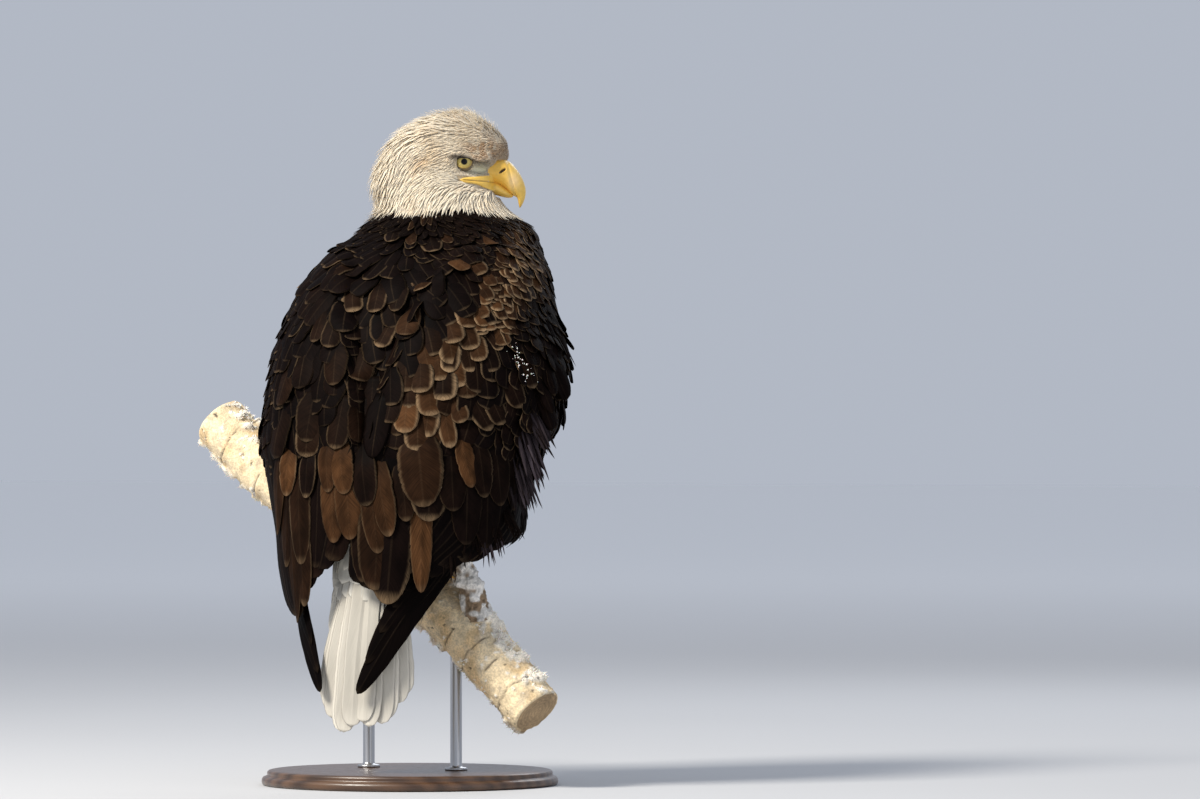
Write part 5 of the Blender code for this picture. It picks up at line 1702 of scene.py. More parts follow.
# forward reach and height of the top and bottom of each section, and its half-width
UPPER_BILL = (
    (60.0, 754.0, 56.0, 727.0, 17.4), (66.0, 754.6, 62.0, 725.0, 17.2), (73.0, 753.8, 69.0, 722.5, 16.6),
    (82.0, 749.5, 77.0, 717.5, 15.2), (90.0, 740.5, 83.5, 711.5, 12.9), (96.8, 729.0, 88.0, 707.8, 10.0),
    (100.4, 717.0, 90.4, 704.5, 7.0), (99.6, 706.5, 91.2, 699.8, 4.5), (96.4, 698.5, 92.2, 695.6, 2.4),
    (94.2, 694.8, 92.8, 694.0, 1.0),
)
LOWER_BILL = (
    (54.0, 728.0, 52.0, 712.5, 15.6), (60.0, 727.6, 60.0, 711.0, 14.8), (68.0, 725.0, 67.0, 709.0, 13.2),
    (77.0, 718.0, 77.0, 706.6, 9.8), (82.5, 713.0, 83.0, 706.6, 5.6), (85.0, 710.6, 85.4, 708.6, 2.2),
)
NOSTRIL, NOSTRIL_SLANT = (72.6, 738.6), (0.82, 0.57)
NOSTRIL_LONG, NOSTRIL_TALL = 4.6, 1.5


def in_nostril(forward, height):
    """Distances along and across the slanting slot of the nostril."""
    dx, dz = forward - NOSTRIL[0], height - NOSTRIL[1]
    c, s = NOSTRIL_SLANT
    return dx * c + dz * s, -dx * s + dz * c


def bill_rings(table, rows, points, swell):
    """Rings of points along one half of the bill; swell(share, forward, across, height) lifts its surface."""
    rows = through(table, rows)
    turn = np.linspace(0, 2 * pi, points, endpoint=False) + pi / points
    rise = (1 + np.cos(turn)) / 2
    rings = []
    for k, (top_x, top_z, low_x, low_z, half) in enumerate(rows):
        share = k / (len(rows) - 1)
        across = half * np.sign(np.sin(turn)) * np.abs(np.sin(turn)) ** 0.86 * (1 + 0.16 * (1 - rise))
        forward, height = mix(low_x, top_x, rise), mix(low_z, top_z, rise)
        forward = forward - 3.4 * bump(height, 741.0, 9.0) * ramp(0.10, 0.0, share)
        middle = head_place((top_x + low_x) / 2, 0.0, (top_z + low_z) / 2)
        ring = head_place(forward, across, height)
        out = unit(ring - middle)
        ring = ring + out * swell(share, forward, across, height)[:, None]
        rings.append(ring)
    return rings


class EAGLE_OT_bill(bpy.types.Operator):
    """Both halves of the bill, with cere, nostrils and the yellow edges of the gape"""

    bl_idname = "eagle.bill"
    bl_label = "Bill"

    def execute(self, context):
        yellow = colour("bill")

        def upper_swell(share, f, l, z):
            slanted = f + 0.25 * (z - 740.0)
            cere = 1.1 * ramp(81.0, 76.5, slanted) - 0.5 * bump(slanted, 81.0, 1.1)
            a, b = in_nostril(f, z)
            pit = -3.4 * ramp(1.25, 0.55, np.hypot(a / NOSTRIL_LONG, b / NOSTRIL_TALL))
            lip = 0.8 * np.exp(-(a / 6.4) ** 2 - (b / 3.6) ** 2)
            tooth = 0.25 * np.sin(share * 9.0)
            return cere + (pit + lip) * (np.abs(l) > 5.0) + tooth * ramp(730, 715, z) * 0.4

        rings = bill_rings(UPPER_BILL, 150, 128, upper_swell)
        points, faces = rings_mesh(rings)
        self.horn = points.tolist(), faces
        f, _, z = in_head(points)
        a, b = in_nostril(f, z)
        # the nostril's pit painted nearly black: painted shade
        dark = ramp(1.25, 0.80, np.hypot(a / NOSTRIL_LONG, b / NOSTRIL_TALL))
        # a paler patch on the side of the bill: a painted highlight
        glow = 0.75 * np.exp(-((f - 86.0) / 7.5) ** 2 - ((z - 727.0) / 10.0) ** 2)
        tones = mix(np.tile(yellow, (len(points), 1)), TONE["painted_bill_highlight"], glow[:, None])
        tones = mix(tones, TONE["bill_root"], (0.6 * ramp(82.0, 74.0, f))[:, None])
        tones = mix(tones, TONE["bill_tip"], (0.35 * ramp(704.0, 694.0, z))[:, None])
        tones = mix(tones, TONE["nostril"], np.clip(1.25 * dark, 0, 0.96)[:, None])
        add_piece("bill_upper_horn", points, faces, "bill_horn", ("bill_upper",), tones)
        rings = bill_rings(LOWER_BILL, 60, 72, lambda share, f, l, z: 0.0 * f)
        points, faces = rings_mesh(rings)
        self.lower_horn = points.tolist(), faces
        tones = np.tile(yellow * 0.9, (len(points), 1))
        add_piece("bill_lower_horn", points, faces, "bill_horn", ("bill_lower",), tones)
        self.gape(yellow)
        return {"FINISHED"}

    def gape(self, yellow):
        """The soft yellow edges of the mouth on each side, from the bill back to the corner under the eye."""
        form = coat_form()
        trees = form.tree, BVHTree.FromPolygons(*self.horn), BVHTree.FromPolygons(*self.lower_horn)
        columns, rows = 60, 21
        t = np.linspace(0, 1, columns)
        forward = mix(21.5, 68.0, t)
        top, low, line = (np.interp(forward, *table) for table in (GAPE_TOP, GAPE_LOW, GAPE_CREASE))
        for name, sign in SIDES.items():
            r = np.linspace(0, 1, rows)
            height = top[:, None] + (low - top)[:, None] * r[None]
            reach = np.zeros((columns, rows))
            for i in range(columns):
                for j in range(rows):
                    start = Vector(head_place(forward[i], -sign * GAPE_FAR, height[i, j]))
                    hits = [tree.ray_cast(start, Vector(LEFT * sign)) for tree in trees]
                    found = [GAPE_FAR - h[3] for h in hits if h[0] is not None]
                    reach[i, j] = max(found) if found else np.nan
            for j in range(rows):
                good = ~np.isnan(reach[:, j])
                reach[:, j] = np.interp(t, t[good], reach[good, j])
            for _ in range(8):
                reach[1:-1] = (reach[:-2] + 2 * reach[1:-1] + reach[2:]) / 4
            edge = np.minimum(np.minimum(r, 1 - r)[None] * (top - low)[:, None], t[:, None] * 40.0)
            edge = np.minimum(edge, (1 - t[:, None]) * 26.0)
            crease = np.exp(-((height - line[:, None]) / 0.75) ** 2)
            swell_out = -0.9 + 2.3 * ramp(0.0, 1.9, edge) - 1.3 * crease * ramp(0.3, 1.4, edge)
            swell_out = mix(-1.8, swell_out, ramp(1.0, 0.62, t)[:, None])
            outer = head_place(forward[:, None], -sign * (reach + swell_out), height)
            inner = head_place(forward[:, None], -sign * (reach - 3.2), height)
            points = np.concatenate([outer.reshape(-1, 3), inner.reshape(-1, 3)])
            faces, behind = [], columns * rows
            for i in range(columns - 1):
                for j in range(rows - 1):
                    a, b = i * rows + j, (i + 1) * rows + j
                    faces.append((a, b, b + 1, a + 1))
                    faces.append((behind + a, behind + a + 1, behind + b + 1, behind + b))
            ring = ([i * rows for i in range(columns)] + [(columns - 1) * rows + j for j in range(1, rows)]
                    + [i * rows + rows - 1 for i in range(columns - 2, -1, -1)]
                    + list(range(rows - 2, 0, -1)))
            for a, b in zip(ring, ring[1:] + ring[:1]):
                faces.append((b, a, behind + a, behind + b))
            if sign > 0:
                faces = [tuple(reversed(f)) for f in faces]
            tones = np.tile(yellow, (columns * rows, 1)).reshape(columns, rows, 3)
            # the crease painted darker: painted shade
            tones = mix(tones, TONE["gape_crease"], (0.65 * crease * ramp(0.0, 0.1, t)[:, None])[..., None])
            tones = mix(tones, TONE["gape_rim"], (0.30 * ramp(1.6, 0.0, edge))[..., None]).reshape(-1, 3)
            add_piece("gape_" + name, points, faces, "bill_horn", (), np.tile(tones, (2, 1)))


# ---- eyes ----

PUPIL, IRIS = radians(18.5), radians(56.0)
EYE_POINTS = 64


class EAGLE_OT_eyes(bpy.types.Operator):
    """Eyeballs with iris and pupil, and the lids round them"""

    bl_idname = "eagle.eyes"
    bl_label = "Eyes"

    def execute(self, context):
        iris = colour("iris")
        for name, sign in SIDES.items():
            centre = head_place(EYE[0], -sign * EYE[1], EYE[2])
            gaze = unit(-sign * LEFT + 0.10 * FORWARD)
            upper = unit(UP - gaze * float(UP @ gaze))
            ahead = np.cross(upper, gaze)
            ring_angles = np.concatenate([
                np.linspace(0.02, PUPIL - 0.012, 6), np.linspace(PUPIL + 0.012, IRIS - 0.02, 11),
                np.linspace(IRIS + 0.02, pi - 0.05, 16)])
            turn = np.linspace(0, 2 * pi, EYE_POINTS, endpoint=False)
            streaks = 0.86 + 0.28 * scattered_over(np.arange(EYE_POINTS), 3, 5, 3)
            rings, tones = [], []
            for a in ring_angles[::-1]:
                r = EYE_RADIUS + 0.35 * np.exp(-(a / 0.5) ** 2)
                ring = (centre + gaze * r * cos(a) + (upper[None] * np.cos(turn)[:, None]
                        + ahead[None] * np.sin(turn)[:, None]) * r * sin(a))
                rings.append(ring)
                if a < PUPIL:
                    tone = np.tile(TONE["pupil"], (EYE_POINTS, 1))
                elif a < IRIS:
                    share = (a - PUPIL) / (IRIS - PUPIL)
                    darker = mix(1.0, 0.5, ramp(0.55, 0.95, share)) * mix(0.72, 1.0, ramp(0.0, 0.2, share))
                    tone = (iris * darker)[None] * streaks[:, None]
                else:
                    tone = np.tile(TONE["eye_white"], (EYE_POINTS, 1))
                tones.append(tone)
            points, faces = rings_mesh(rings)
            tones = np.concatenate([*tones, [TONE["eye_white"], TONE["pupil"]]])
            add_piece("eyeball_" + name, points, faces, "eye_ball", ("eye_" + name,), tones)
            self.lids(name, centre, gaze, upper, ahead, sign)
        return {"FINISHED"}

    def lids(self, name, centre, gaze, upper, ahead, sign):
        """Lids that wrap the eyeball: a thick rim round the opening, folded skin behind it, darker above and
        at the front corner with painted shade from the brow, and painted shade in the folds.
        """
        count, rows = 96, 20
        turn = np.linspace(0, 2 * pi, count, endpoint=False)[:, None]
        # turn 0 is straight up; the opening is flat on top and drawn out at the front corner
        front = np.sin(turn) * (-sign)
        above, below = np.maximum(np.cos(turn), 0.0), np.maximum(-np.cos(turn), 0.0)
        opening = 47.0 - 27.0 * above ** 1.2 - 14.0 * below ** 1.2 + 5.0 * np.maximum(front, 0.0) ** 6
        t = np.linspace(0.0, 1.0, rows)[None]
        angle = np.radians(mix(opening, 86.0, t ** 1.2))
        ways = upper * np.cos(turn)[..., None] + ahead * np.sin(turn)[..., None]

        def shell(a, radius):
            return centre + gaze * (radius * np.cos(a))[..., None] + ways * (radius * np.sin(a))[..., None]

        wrinkle = 0.34 * bump(t, 0.26, 0.05) + 0.26 * bump(t, 0.44, 0.05) + 0.22 * bump(t, 0.62, 0.06)
        rise = (0.95 + 0.5 * above) * np.sqrt(np.clip(t / 0.12, 0.0, 1.0))
        rise = rise - wrinkle * (0.6 + 0.4 * np.cos(turn * 3.0))
        outer = shell(angle, EYE_RADIUS + 0.15 + rise)
        inner = shell(angle[:, ::-1], np.full_like(rise, EYE_RADIUS - 0.6))
        rings = np.concatenate([outer, inner], axis=1)
        points = rings.reshape(-1, 3)
        faces = []
        loop = 2 * rows
        for i in range(count):
            here, beyond = i * loop, (i + 1) % count * loop
            for j in range(loop):
                k = (j + 1) % loop
                faces.append((here + j, beyond + j, beyond + k, here + k))
        # the upper lid and the front corner, under the brow, painted dark: painted shade
        dark = np.maximum(ramp(-0.05, 0.40, np.cos(turn)), 0.9 * ramp(0.80, 0.97, front))
        rim = ramp(0.30, 0.16, t)
        tones = mix(mix(TONE["lid"], TONE["lid_rim"], rim[..., None]), TONE["painted_lid_shade"], dark[..., None])
        # the folds of the lids painted darker: painted shade
        tones = tones * (1.0 - 0.5 * np.clip(wrinkle / 0.34, 0.0, 1.0))[..., None]
        tones = np.concatenate([tones, tones[:, ::-1]], axis=1).reshape(-1, 3)
        add_piece("eyelids_" + name, points, faces, "lid", (), tones)


# ---- branch and feet ----

# the branch's centre line: a middle point, a heading seen from above, and how fast it falls between
# and beyond its two bends
PERCH_RADIUS = 33.5
PERCH_MIDDLE = (0.0, 15.0, 239.8)
PERCH_HEADING = radians(-14.0)
PERCH_FALL, PERCH_END_FALL = -0.602, -0.913
PERCH_BENDS, PERCH_ENDS = (-249.0, 55.0), (-300.0, 182.0)
END_RINGS = 12
# where cracks run round the bark
CRACKS = (-268.0, -214.0, -171.0, -120.0, -84.0, -39.0, -6.0, 44.0, 79.0, 104.0, 131.0, 158.0)
STUB_STATION, STUB_POINTS = 84.0, 96

FOOT_STATIONS = {"left": -62.0, "right": 28.0}
TOE_RADIUS = 7.2
# which way round the bark, angle to the middle toe, length of toe and of claw
TOES = {
    "inner": (1.0, -27.0, 52.0, 39.0),
    "middle": (1.0, 0.0, 74.0, 35.0),
    "outer": (1.0, 27.0, 55.0, 29.0),
    "hind": (-1.0, -10.0, 38.0, 43.0),
}


def perch_point(distance):
    """The centre line of the branch at plan distances from its middle point."""
    distance = np.asarray(distance, float)
    height = 0.0
    for k in range(7):
        d = distance - 34.0 + 68.0 * k / 6
        inner = np.clip(d, *PERCH_BENDS)
        height = height + (PERCH_MIDDLE[2] + PERCH_FALL * inner + PERCH_END_FALL * (d - inner)) / 7
    return np.stack([PERCH_MIDDLE[0] + distance * cos(PERCH_HEADING),
                     PERCH_MIDDLE[1] + distance * sin(PERCH_HEADING), height], axis=-1)


def perch_frame(distance):
    """Directions along the branch, up from it and forward of it."""
    along = unit(perch_point(distance + 1.0) - perch_point(distance - 1.0))
    front = unit(np.cross(UP, along))
    return along, unit(np.cross(along, front)), front


def perch_surface(distance, bearing, lift):
    """Points over the bark: bearing 0 is on top, and lift is the height over the plain round branch."""
    _, upper, front = perch_frame(distance)
    out = upper * np.cos(bearing)[..., None] + front * np.sin(bearing)[..., None]
    return perch_point(distance) + out * (PERCH_RADIUS + np.asarray(lift))[..., None]


def swell(distance):
    """How far the branch is thicker than the plain round one."""
    return 1.1 * np.sin(distance / 41.0) + 0.7 * np.sin(distance / 17.0 + 1.0)


class EAGLE_OT_perch(bpy.types.Operator):
    """The cut branch: weathered bark with cracks, sawn ends and hoarfrost"""

    bl_idname = "eagle.perch"
    bl_label = "Branch"

    def execute(self, context):
        rng = generator(4)
        rows, around = 330, 132
        d = np.linspace(*PERCH_ENDS, rows)[:, None] * np.ones((1, around))
        b = np.linspace(0, 2 * pi, around, endpoint=False)[None, :] * np.ones((rows, 1))
        flat = perch_surface(d, b, 0.0)
        frost = self.frost(flat, b)
        crack, pit = self.marks(flat, d)
        lift = swell(d) + 1.6 * (noise(flat, 22.0, 51) - 0.5) + 0.9 * (noise(flat, 7.0, 52) - 0.5)
        lift = lift + 5.0 * self.lumps(flat, b) * (0.6 + 0.8 * noise(flat, 3.0, 55))
        lift = lift + 0.5 * (noise(flat, 2.6, 53) - 0.5) - 1.5 * crack - 1.3 * pit
        lift = lift + 1.5 * frost * (0.5 + noise(flat, 3.2, 54))
        edge = np.minimum(d - PERCH_ENDS[0], PERCH_ENDS[1] - d)
        lift = np.where(edge < 0.5, lift - 1.2, lift)
        points = perch_surface(d, b, lift)
        grid = points.reshape(-1, 3)
        tones = self.tones(flat, frost, crack, pit).reshape(-1, 3)
        faces = grid_faces(rows, around)
        all_points, all_tones = [grid], [tones]
        start = len(grid)
        wood = TONE["sawn_wood"]
        ringed = np.array([1.0 if k % 2 else 0.72 for k in range(END_RINGS)])[:, None, None]
        for end, ring in ((0, points[0]), (1, points[-1])):
            centre = ring.mean(axis=0)
            shells = np.array([centre + (ring - centre) * (1.0 - k / (END_RINGS + 0.5))
                               for k in range(1, END_RINGS + 1)])
            all_points += [shells.reshape(-1, 3), centre[None]]
            tone = wood[None, None] * ringed * (0.85 + 0.3 * noise(shells, 4.0, 57))[..., None]
            all_tones += [tone.reshape(-1, 3), wood[None] * 0.6]
            outermost, innermost = end * (rows - 1) * around, start + (END_RINGS - 1) * around
            ends = grid_faces(END_RINGS, around, start)
            ends += [(outermost + j, outermost + (j + 1) % around, start + (j + 1) % around, start + j)
                     for j in range(around)]
            ends += [(innermost + j, innermost + (j + 1) % around, start + END_RINGS * around)
                     for j in range(around)]
            faces += ends if end else [tuple(reversed(f)) for f in ends]
            start += END_RINGS * around + 1
        add_piece("branch", np.concatenate(all_points), faces, "bark", ("perch",),
                  np.concatenate(all_tones))
        self.crystals(rng)
        self.stub()
        self.flecks(rng)
        return {"FINISHED"}

    def stub(self):
        """The rime-covered stub of a broken side twig, beside the right foot."""
        root = perch_surface(np.array(STUB_STATION), np.array(-0.35), np.array(-8.0))
        tip = ACROSS * 53.0 + AWAY * (root @ AWAY - 4.0) + UP * 285.0
        knots = [root, mix(root, tip, 0.35) + ACROSS * 5.0, mix(root, tip, 0.7) + ACROSS * 3.0, tip]
        path = through(knots, 90)

        def radius(share, bearing):
            rounded = np.minimum(1.0, 4.0 * np.sqrt(np.maximum(1.02 - share, 0.0)) + 0.05)
            return mix(20.0, 14.0, share ** 0.8) * rounded

        rings = tube_rings(path, radius, STUB_POINTS, 0.9, AWAY)
        out = unit(rings - path[:, None])
        rime = noise(rings, 9.0, 91) - 0.5
        lift = 9.0 * rime + 4.0 * (noise(rings, 4.0, 92) - 0.5) + 1.6 * (noise(rings, 1.8, 93) - 0.5)
        rings = rings + out * lift[..., None]
        points, faces = rings_mesh(rings)
        cover = ramp(-0.14, 0.02, np.concatenate([rime.ravel(), [0.0, 0.1]]))
        bark = TONE["stub_bark"] * (0.6 + 0.8 * noise(points, 3.0, 94))[:, None]
        tones = mix(bark, TONE["stub_rime"], (0.92 * cover)[:, None])
        add_piece("twig_stub", points, faces, "bark", (), tones)

    def flecks(self, rng):
        """A few crumbs of rime caught on the right wing."""
        form = coat_form()
        corners = np.array([(1, 0, 0), (0, 1, 0), (-1, 0, 0), (0, -1, 0), (0, 0, 1), (0, 0, -1)], float)
        sides = [(0, 1, 4), (1, 2, 4), (2, 3, 4), (3, 0, 4), (1, 0, 5), (2, 1, 5), (3, 2, 5), (0, 3, 5)]
        points, faces = [], []
        for _ in range(40):
            t = rng.random()
            across = mix(123.0, 149.0, t) + rng.normal(0, 3.5)
            height = mix(526.0, 486.0, t) + rng.normal(0, 5.0)
            depth = form.from_behind(across, height)
            if depth is not None:
                middle = ACROSS * across + UP * height + AWAY * (depth - 4.6)
                faces += [tuple(len(points) * 6 + c for c in side) for side in sides]
                points.append(middle + corners * rng.uniform(0.35, 1.25) * rng.uniform(0.5, 1.5, (6, 1)))
        add_piece("rime_flecks", np.concatenate(points), faces, "frost", smooth=False)

    def frost(self, flat, b):
        """How thickly hoarfrost covers the bark, from 0 to 1."""
        rough = 0.40 * noise(flat, 15.0, 61) + 0.60 * noise(flat, 4.6, 62)
        edges = 0.19 * np.cos(b) ** 4 - 0.10
        return np.maximum(ramp(0.62, 0.71, rough + edges), ramp(0.1, 0.5, self.lumps(flat, b)))

    def lumps(self, flat, b):
        """Where rime has gathered in rough lumps, along the upper and under sides."""
        clear = np.ones(flat.shape[:-1])
        for station in FOOT_STATIONS.values():
            foot = perch_surface(np.array(station), np.array(foot_bearing()), np.array(0.0))
            clear = clear * ramp(44.0, 62.0, np.linalg.norm(flat - foot, axis=-1))
        return ramp(0.54, 0.74, noise(flat, 12.0, 58)) * np.cos(b) ** 4 * clear

    def marks(self, flat, d):
        """Depth of cracks and of pits, from 0 to 1."""
        wander = d + 9.0 * (noise(flat, 30.0, 63) - 0.5) + 2.0 * (noise(flat, 6.0, 64) - 0.5)
        crack = np.zeros_like(d)
        for k, where in enumerate(CRACKS):
            reach = ramp(0.35, 0.6, noise(flat + k * 37.0, 26.0, 65))
            crack = np.maximum(crack, bump(wander, where, 0.9) * reach)
        pit = ramp(0.80, 0.90, noise(flat, 4.2, 66)) * ramp(0.45, 0.6, noise(flat, 20.0, 67))
        return crack, pit

    def tones(self, flat, frost, crack, pit):
        ochre = 0.75 * ramp(0.48, 0.80, noise(flat, 20.0, 71))
        tone = mix(TONE["bark_cream"], TONE["bark_ochre"], ochre[..., None])
        tone = mix(tone, TONE["bark_grey"], (0.45 * ramp(0.5, 0.8, noise(flat, 7.0, 72)))[..., None])
        tone = tone * (0.90 + 0.20 * noise(flat, 3.0, 73))[..., None]
        tone = mix(tone, TONE["bark_frost"], (0.9 * frost)[..., None])
        return mix(tone, TONE["bark_crack"], np.clip(0.85 * crack + 0.9 * pit, 0, 0.92)[..., None])

    def crystals(self, rng):
        """Small ice spikes that stand on the frosted parts of the bark."""
        count = 30000
        d = rng.uniform(PERCH_ENDS[0] + 2, PERCH_ENDS[1] - 2, count)
        b = rng.uniform(0, 2 * pi, count)
        flat = perch_surface(d, b, 0.0)
        knob = self.lumps(flat, b)
        keep = self.frost(flat, b) > 0.5
        for station in FOOT_STATIONS.values():
            keep &= ~((np.abs(d - station) < 44.0) & (np.cos(b - 0.07) > -0.2))
        d, b, flat, knob = d[keep], b[keep], flat[keep], knob[keep]
        count = len(d)
        along, upper, front = perch_frame(d)
        out = upper * np.cos(b)[:, None] + front * np.sin(b)[:, None]
        lean = unit(out + rng.normal(0, 0.45, (count, 3)))
        side = unit(np.cross(lean, along))
        other = np.cross(lean, side)
        root = flat + out * (swell(d) - 0.4 + 4.0 * knob)[:, None]
        tall = (1.8 + (1.6 + 3.4 * np.cos(b) ** 2 + 3.0 * knob) * rng.random(count) ** 2)[:, None]
        wide = (0.7 + 0.8 * rng.random(count))[:, None]
        corners = [root + side * wide, root - side * wide * 0.5 + other * wide * 0.87,
                   root - side * wide * 0.5 - other * wide * 0.87, root + lean * tall]
        points = np.stack(corners, axis=1).reshape(-1, 3)
        cell = [(0, 2, 1), (0, 1, 3), (1, 2, 3), (2, 0, 3)]
        faces = [tuple(4 * i + k for k in f) for i in range(count) for f in cell]
        add_piece("frost_crystals", points, faces, "frost", smooth=False)


def foot_bearing():
    """Where the ball of each foot lies round the branch: a little forward of its top."""
    return radians(4.0)


def toe_path(side, toe, run, lift):
    """Points of a toe at distances from the ball of the foot, round the bark."""
    way, spread = TOES[toe][:2]
    over = run / (PERCH_RADIUS + TOE_RADIUS)
    slip = run * sin(radians(spread)) * SIDES[side] * 0.86
    bearing = foot_bearing() + way * over * cos(radians(spread))
    return perch_surface(FOOT_STATIONS[side] + slip * cos(radians(31.0)), bearing, lift)


class EAGLE_OT_feet(bpy.types.Operator):
    """Scaled toes, shanks and glossy hooked claws"""

    bl_idname = "eagle.feet"
    bl_label = "Feet"

    def execute(self, context):
        for side in SIDES:
            for toe in TOES:
                self.toe(side, toe)
                self.claw(side, toe)
            self.shank(side)
        return {"FINISHED"}

    def toe(self, side, toe):
        length = TOES[toe][2]
        run = np.linspace(4.0, length + 1.0, 64)
        lift = TOE_RADIUS * 0.86 - 1.6 * ramp(0.5, 1.0, run / length)
        path = toe_path(side, toe, run, lift)
        pads = max(round(length / 22.0), 1)

        def radius(share, bearing):
            top = 0.5 + 0.5 * np.cos(bearing)
            knuckle = 0.7 * np.cos(2 * pi * share * pads) * (1 - 0.4 * share)
            plates = share * length / 2.7
            scute = 0.42 * (1.0 - (plates % 1.0)) * top ** 2
            grains = 0.35 * (scattered_over(np.round(plates * 1.6), np.round(bearing * 4.0), 1.0, 6) - 0.5)
            pad = 0.9 * np.maximum(-np.cos(bearing), 0) * np.abs(np.sin(pi * share * pads))
            thick = mix(TOE_RADIUS, 5.2, share) + knuckle + scute + grains * (1 - top) + pad - 0.4
            return thick * (0.35 + 0.65 * ramp(1.06, 0.94, share))

        rings = tube_rings(path, radius, 28, 0.97, unit(path.mean(axis=0) - perch_point(FOOT_STATIONS[side])))
        points, faces = rings_mesh(rings)
        self.add(f"toe_skin_{toe}_{side}", points, faces, (f"toe_{toe}_{side}",))

    def add(self, name, points, faces, nodes):
        tones = colour("foot")[None] * (0.72 + 0.4 * noise(points, 3.0, 81))[:, None]
        tones = mix(tones, TONE["toe_stain"], (0.5 * ramp(0.62, 0.8, noise(points, 1.6, 82)))[:, None])
        add_piece(name, points, faces, "foot_skin", nodes, tones)

    def claw(self, side, toe):
        length, claw = TOES[toe][2:]
        share = np.linspace(-0.10, 1, 40)
        along = np.clip(share, 0, 1)
        lift = mix(5.0, 1.2, along) + 7.0 * np.sin(pi * along ** 0.8)
        path = toe_path(side, toe, length + claw * 0.86 * share, lift)

        def radius(t, bearing):
            taper = mix(4.9, 0.45, t ** 0.9)
            groove = -0.25 * np.exp(-((np.cos(bearing) + 0.8) / 0.25) ** 2)
            return taper * (1 + 0.02 * np.sin(t * 60)) + groove * (1 - t)

        rings = tube_rings(path, radius, 24, 0.84, unit(path.mean(axis=0) - perch_point(FOOT_STATIONS[side])))
        points, faces = rings_mesh(rings)
        root = np.concatenate([np.repeat(ramp(0.16, 0.0, np.linspace(0, 1, 40)), 24), [1.0, 0.0]])
        tones = mix(np.tile(TONE["claw"], (len(points), 1)), TONE["claw_root"], root[:, None])
        add_piece(f"claw_horn_{toe}_{side}", points, faces, "claw_horn", (f"claw_{toe}_{side}",), tones)

    def shank(self, side):
        ball = perch_surface(np.array(FOOT_STATIONS[side]), np.array(foot_bearing()), np.array(8.0))
        hock = np.array([66.0 * SIDES[side], -2.0 + 14.0 * (side == "left"), ball[2] + 88.0])
        knots = [ball - UP * 7.0, ball + UP * 2.0] + [mix(ball, hock, t) for t in (0.16, 0.34, 0.6, 0.85)]
        path = through(np.array(knots), 70)
        radii = through(np.array([[7.0], [12.4], [10.0], [8.2], [8.0], [9.0]]), 70)[:, 0]

        def radius(share, bearing):
            plates = share * 30.0
            front = 0.5 + 0.5 * np.cos(bearing)
            scute = 0.5 * (1.0 - (plates % 1.0)) * front ** 2
            grains = scattered_over(np.round(plates * 1.4), np.round(bearing * 3.5), 2.0, 9) - 0.5
            return radii[:, None] + scute + 0.4 * grains * (1 - front)

        rings = tube_rings(path, radius, 36, 1.0, np.array([0.0, 1.0, 0.0]))
        points, faces = rings_mesh(rings)
        self.add("shank_skin_" + side, points, faces, ("tarsus_" + side,))


# ---- stand ----


def lathed(profile, segments, centre=(0.0, 0.0)):
    """A closed turned form from (radius, height) pairs, bottom to top; the ends lie on the axis."""
    turn = np.linspace(0, 2 * pi, segments, endpoint=False)
    circle = np.stack([np.cos(turn), np.sin(turn)], axis=-1)
    rings = [np.column_stack([np.array(centre) + r * circle, np.full(segments, z)]) for r, z in profile]
    return rings_mesh(rings)


# radius and height up the base's moulded edge; then how far the rod's collar is wider, and its height
BASE_PROFILE = ((60.0, 0.0), (170.0, 0.0), (176.0, 0.6), (177.6, 2.2), (178.0, 4.5), (177.6, 7.6),
                (176.0, 9.6), (173.4, 10.6), (171.6, 11.4), (171.0, 12.8), (171.4, 14.2), (171.0, 16.0),
                (169.4, 17.4), (166.8, 18.0), (150.0, 18.0), (60.0, 18.0), (20.0, 18.0))
ROD_COLLAR = ((6.5, -0.2), (6.5, 2.4), (5.6, 3.4), (1.4, 3.9), (0.4, 5.0), (0.0, 6.0))


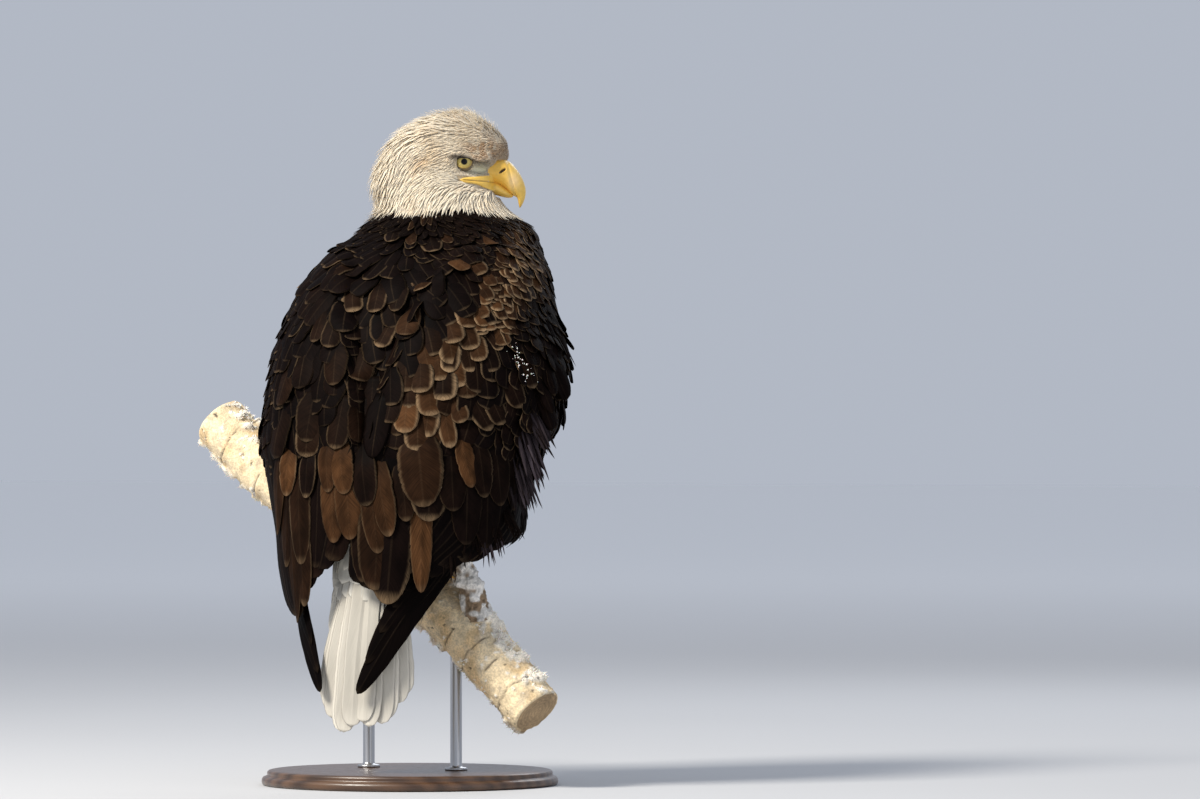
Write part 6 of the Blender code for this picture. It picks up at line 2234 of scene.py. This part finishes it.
class EAGLE_OT_stand(bpy.types.Operator):
    """The turned wooden base and the two steel rods"""

    bl_idname = "eagle.stand"
    bl_label = "Stand"

    def execute(self, context):
        points, faces = lathed(BASE_PROFILE, 160)
        add_piece("stand_base_wood", points, faces, "stand_wood", ("stand_base",))
        for number in (1, 2):
            low, high = (np.array(corner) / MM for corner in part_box(f"stand_rod_{number}"))
            middle = (low + high) / 2
            r, top = (high[0] - low[0]) / 2, high[2]
            profile = [(r + more, low[2] + up) for more, up in ROD_COLLAR]
            profile += [(r, top - 8.0), (r, top - 0.5), (r * 0.4, top)]
            points, faces = lathed(profile, 56, middle[:2])
            add_piece(f"stand_rod_{number}_steel", points, faces, "stand_steel", (f"stand_rod_{number}",))
        return {"FINISHED"}


# ---- panel and start ----

STEPS = (
    EAGLE_OT_stage, EAGLE_OT_skin, EAGLE_OT_head_feathers, EAGLE_OT_body_feathers, EAGLE_OT_flight_feathers,
    EAGLE_OT_thigh_feathers, EAGLE_OT_tail, EAGLE_OT_bill, EAGLE_OT_eyes, EAGLE_OT_perch, EAGLE_OT_feet,
    EAGLE_OT_stand,
)


class EAGLE_PT_panel(bpy.types.Panel):
    """The steps that build the eagle, in order."""

    bl_idname = "EAGLE_PT_panel"
    bl_label = "Perched Bald Eagle"
    bl_space_type = "VIEW_3D"
    bl_region_type = "UI"
    bl_category = "Eagle"

    def draw(self, context):
        for group in (context.scene.eagle_sizes, context.scene.eagle_colours):
            box = self.layout.box()
            for key in group.bl_rna.properties.keys():
                if key not in ("rna_type", "name"):
                    box.prop(group, key)
        for step in STEPS:
            self.layout.operator(step.bl_idname)


CLASSES = (EagleColours, EagleSizes, *STEPS, EAGLE_PT_panel)


def register():
    for each in CLASSES:
        bpy.utils.register_class(each)
    bpy.types.Scene.eagle_colours = PointerProperty(type=EagleColours)
    bpy.types.Scene.eagle_sizes = PointerProperty(type=EagleSizes)


def unregister():
    del bpy.types.Scene.eagle_sizes
    del bpy.types.Scene.eagle_colours
    for each in reversed(CLASSES):
        bpy.utils.unregister_class(each)


def main():
    register()
    for step in STEPS:
        group, name = step.bl_idname.split(".")
        getattr(getattr(bpy.ops, group), name)()


if __name__ == "__main__":
    main()
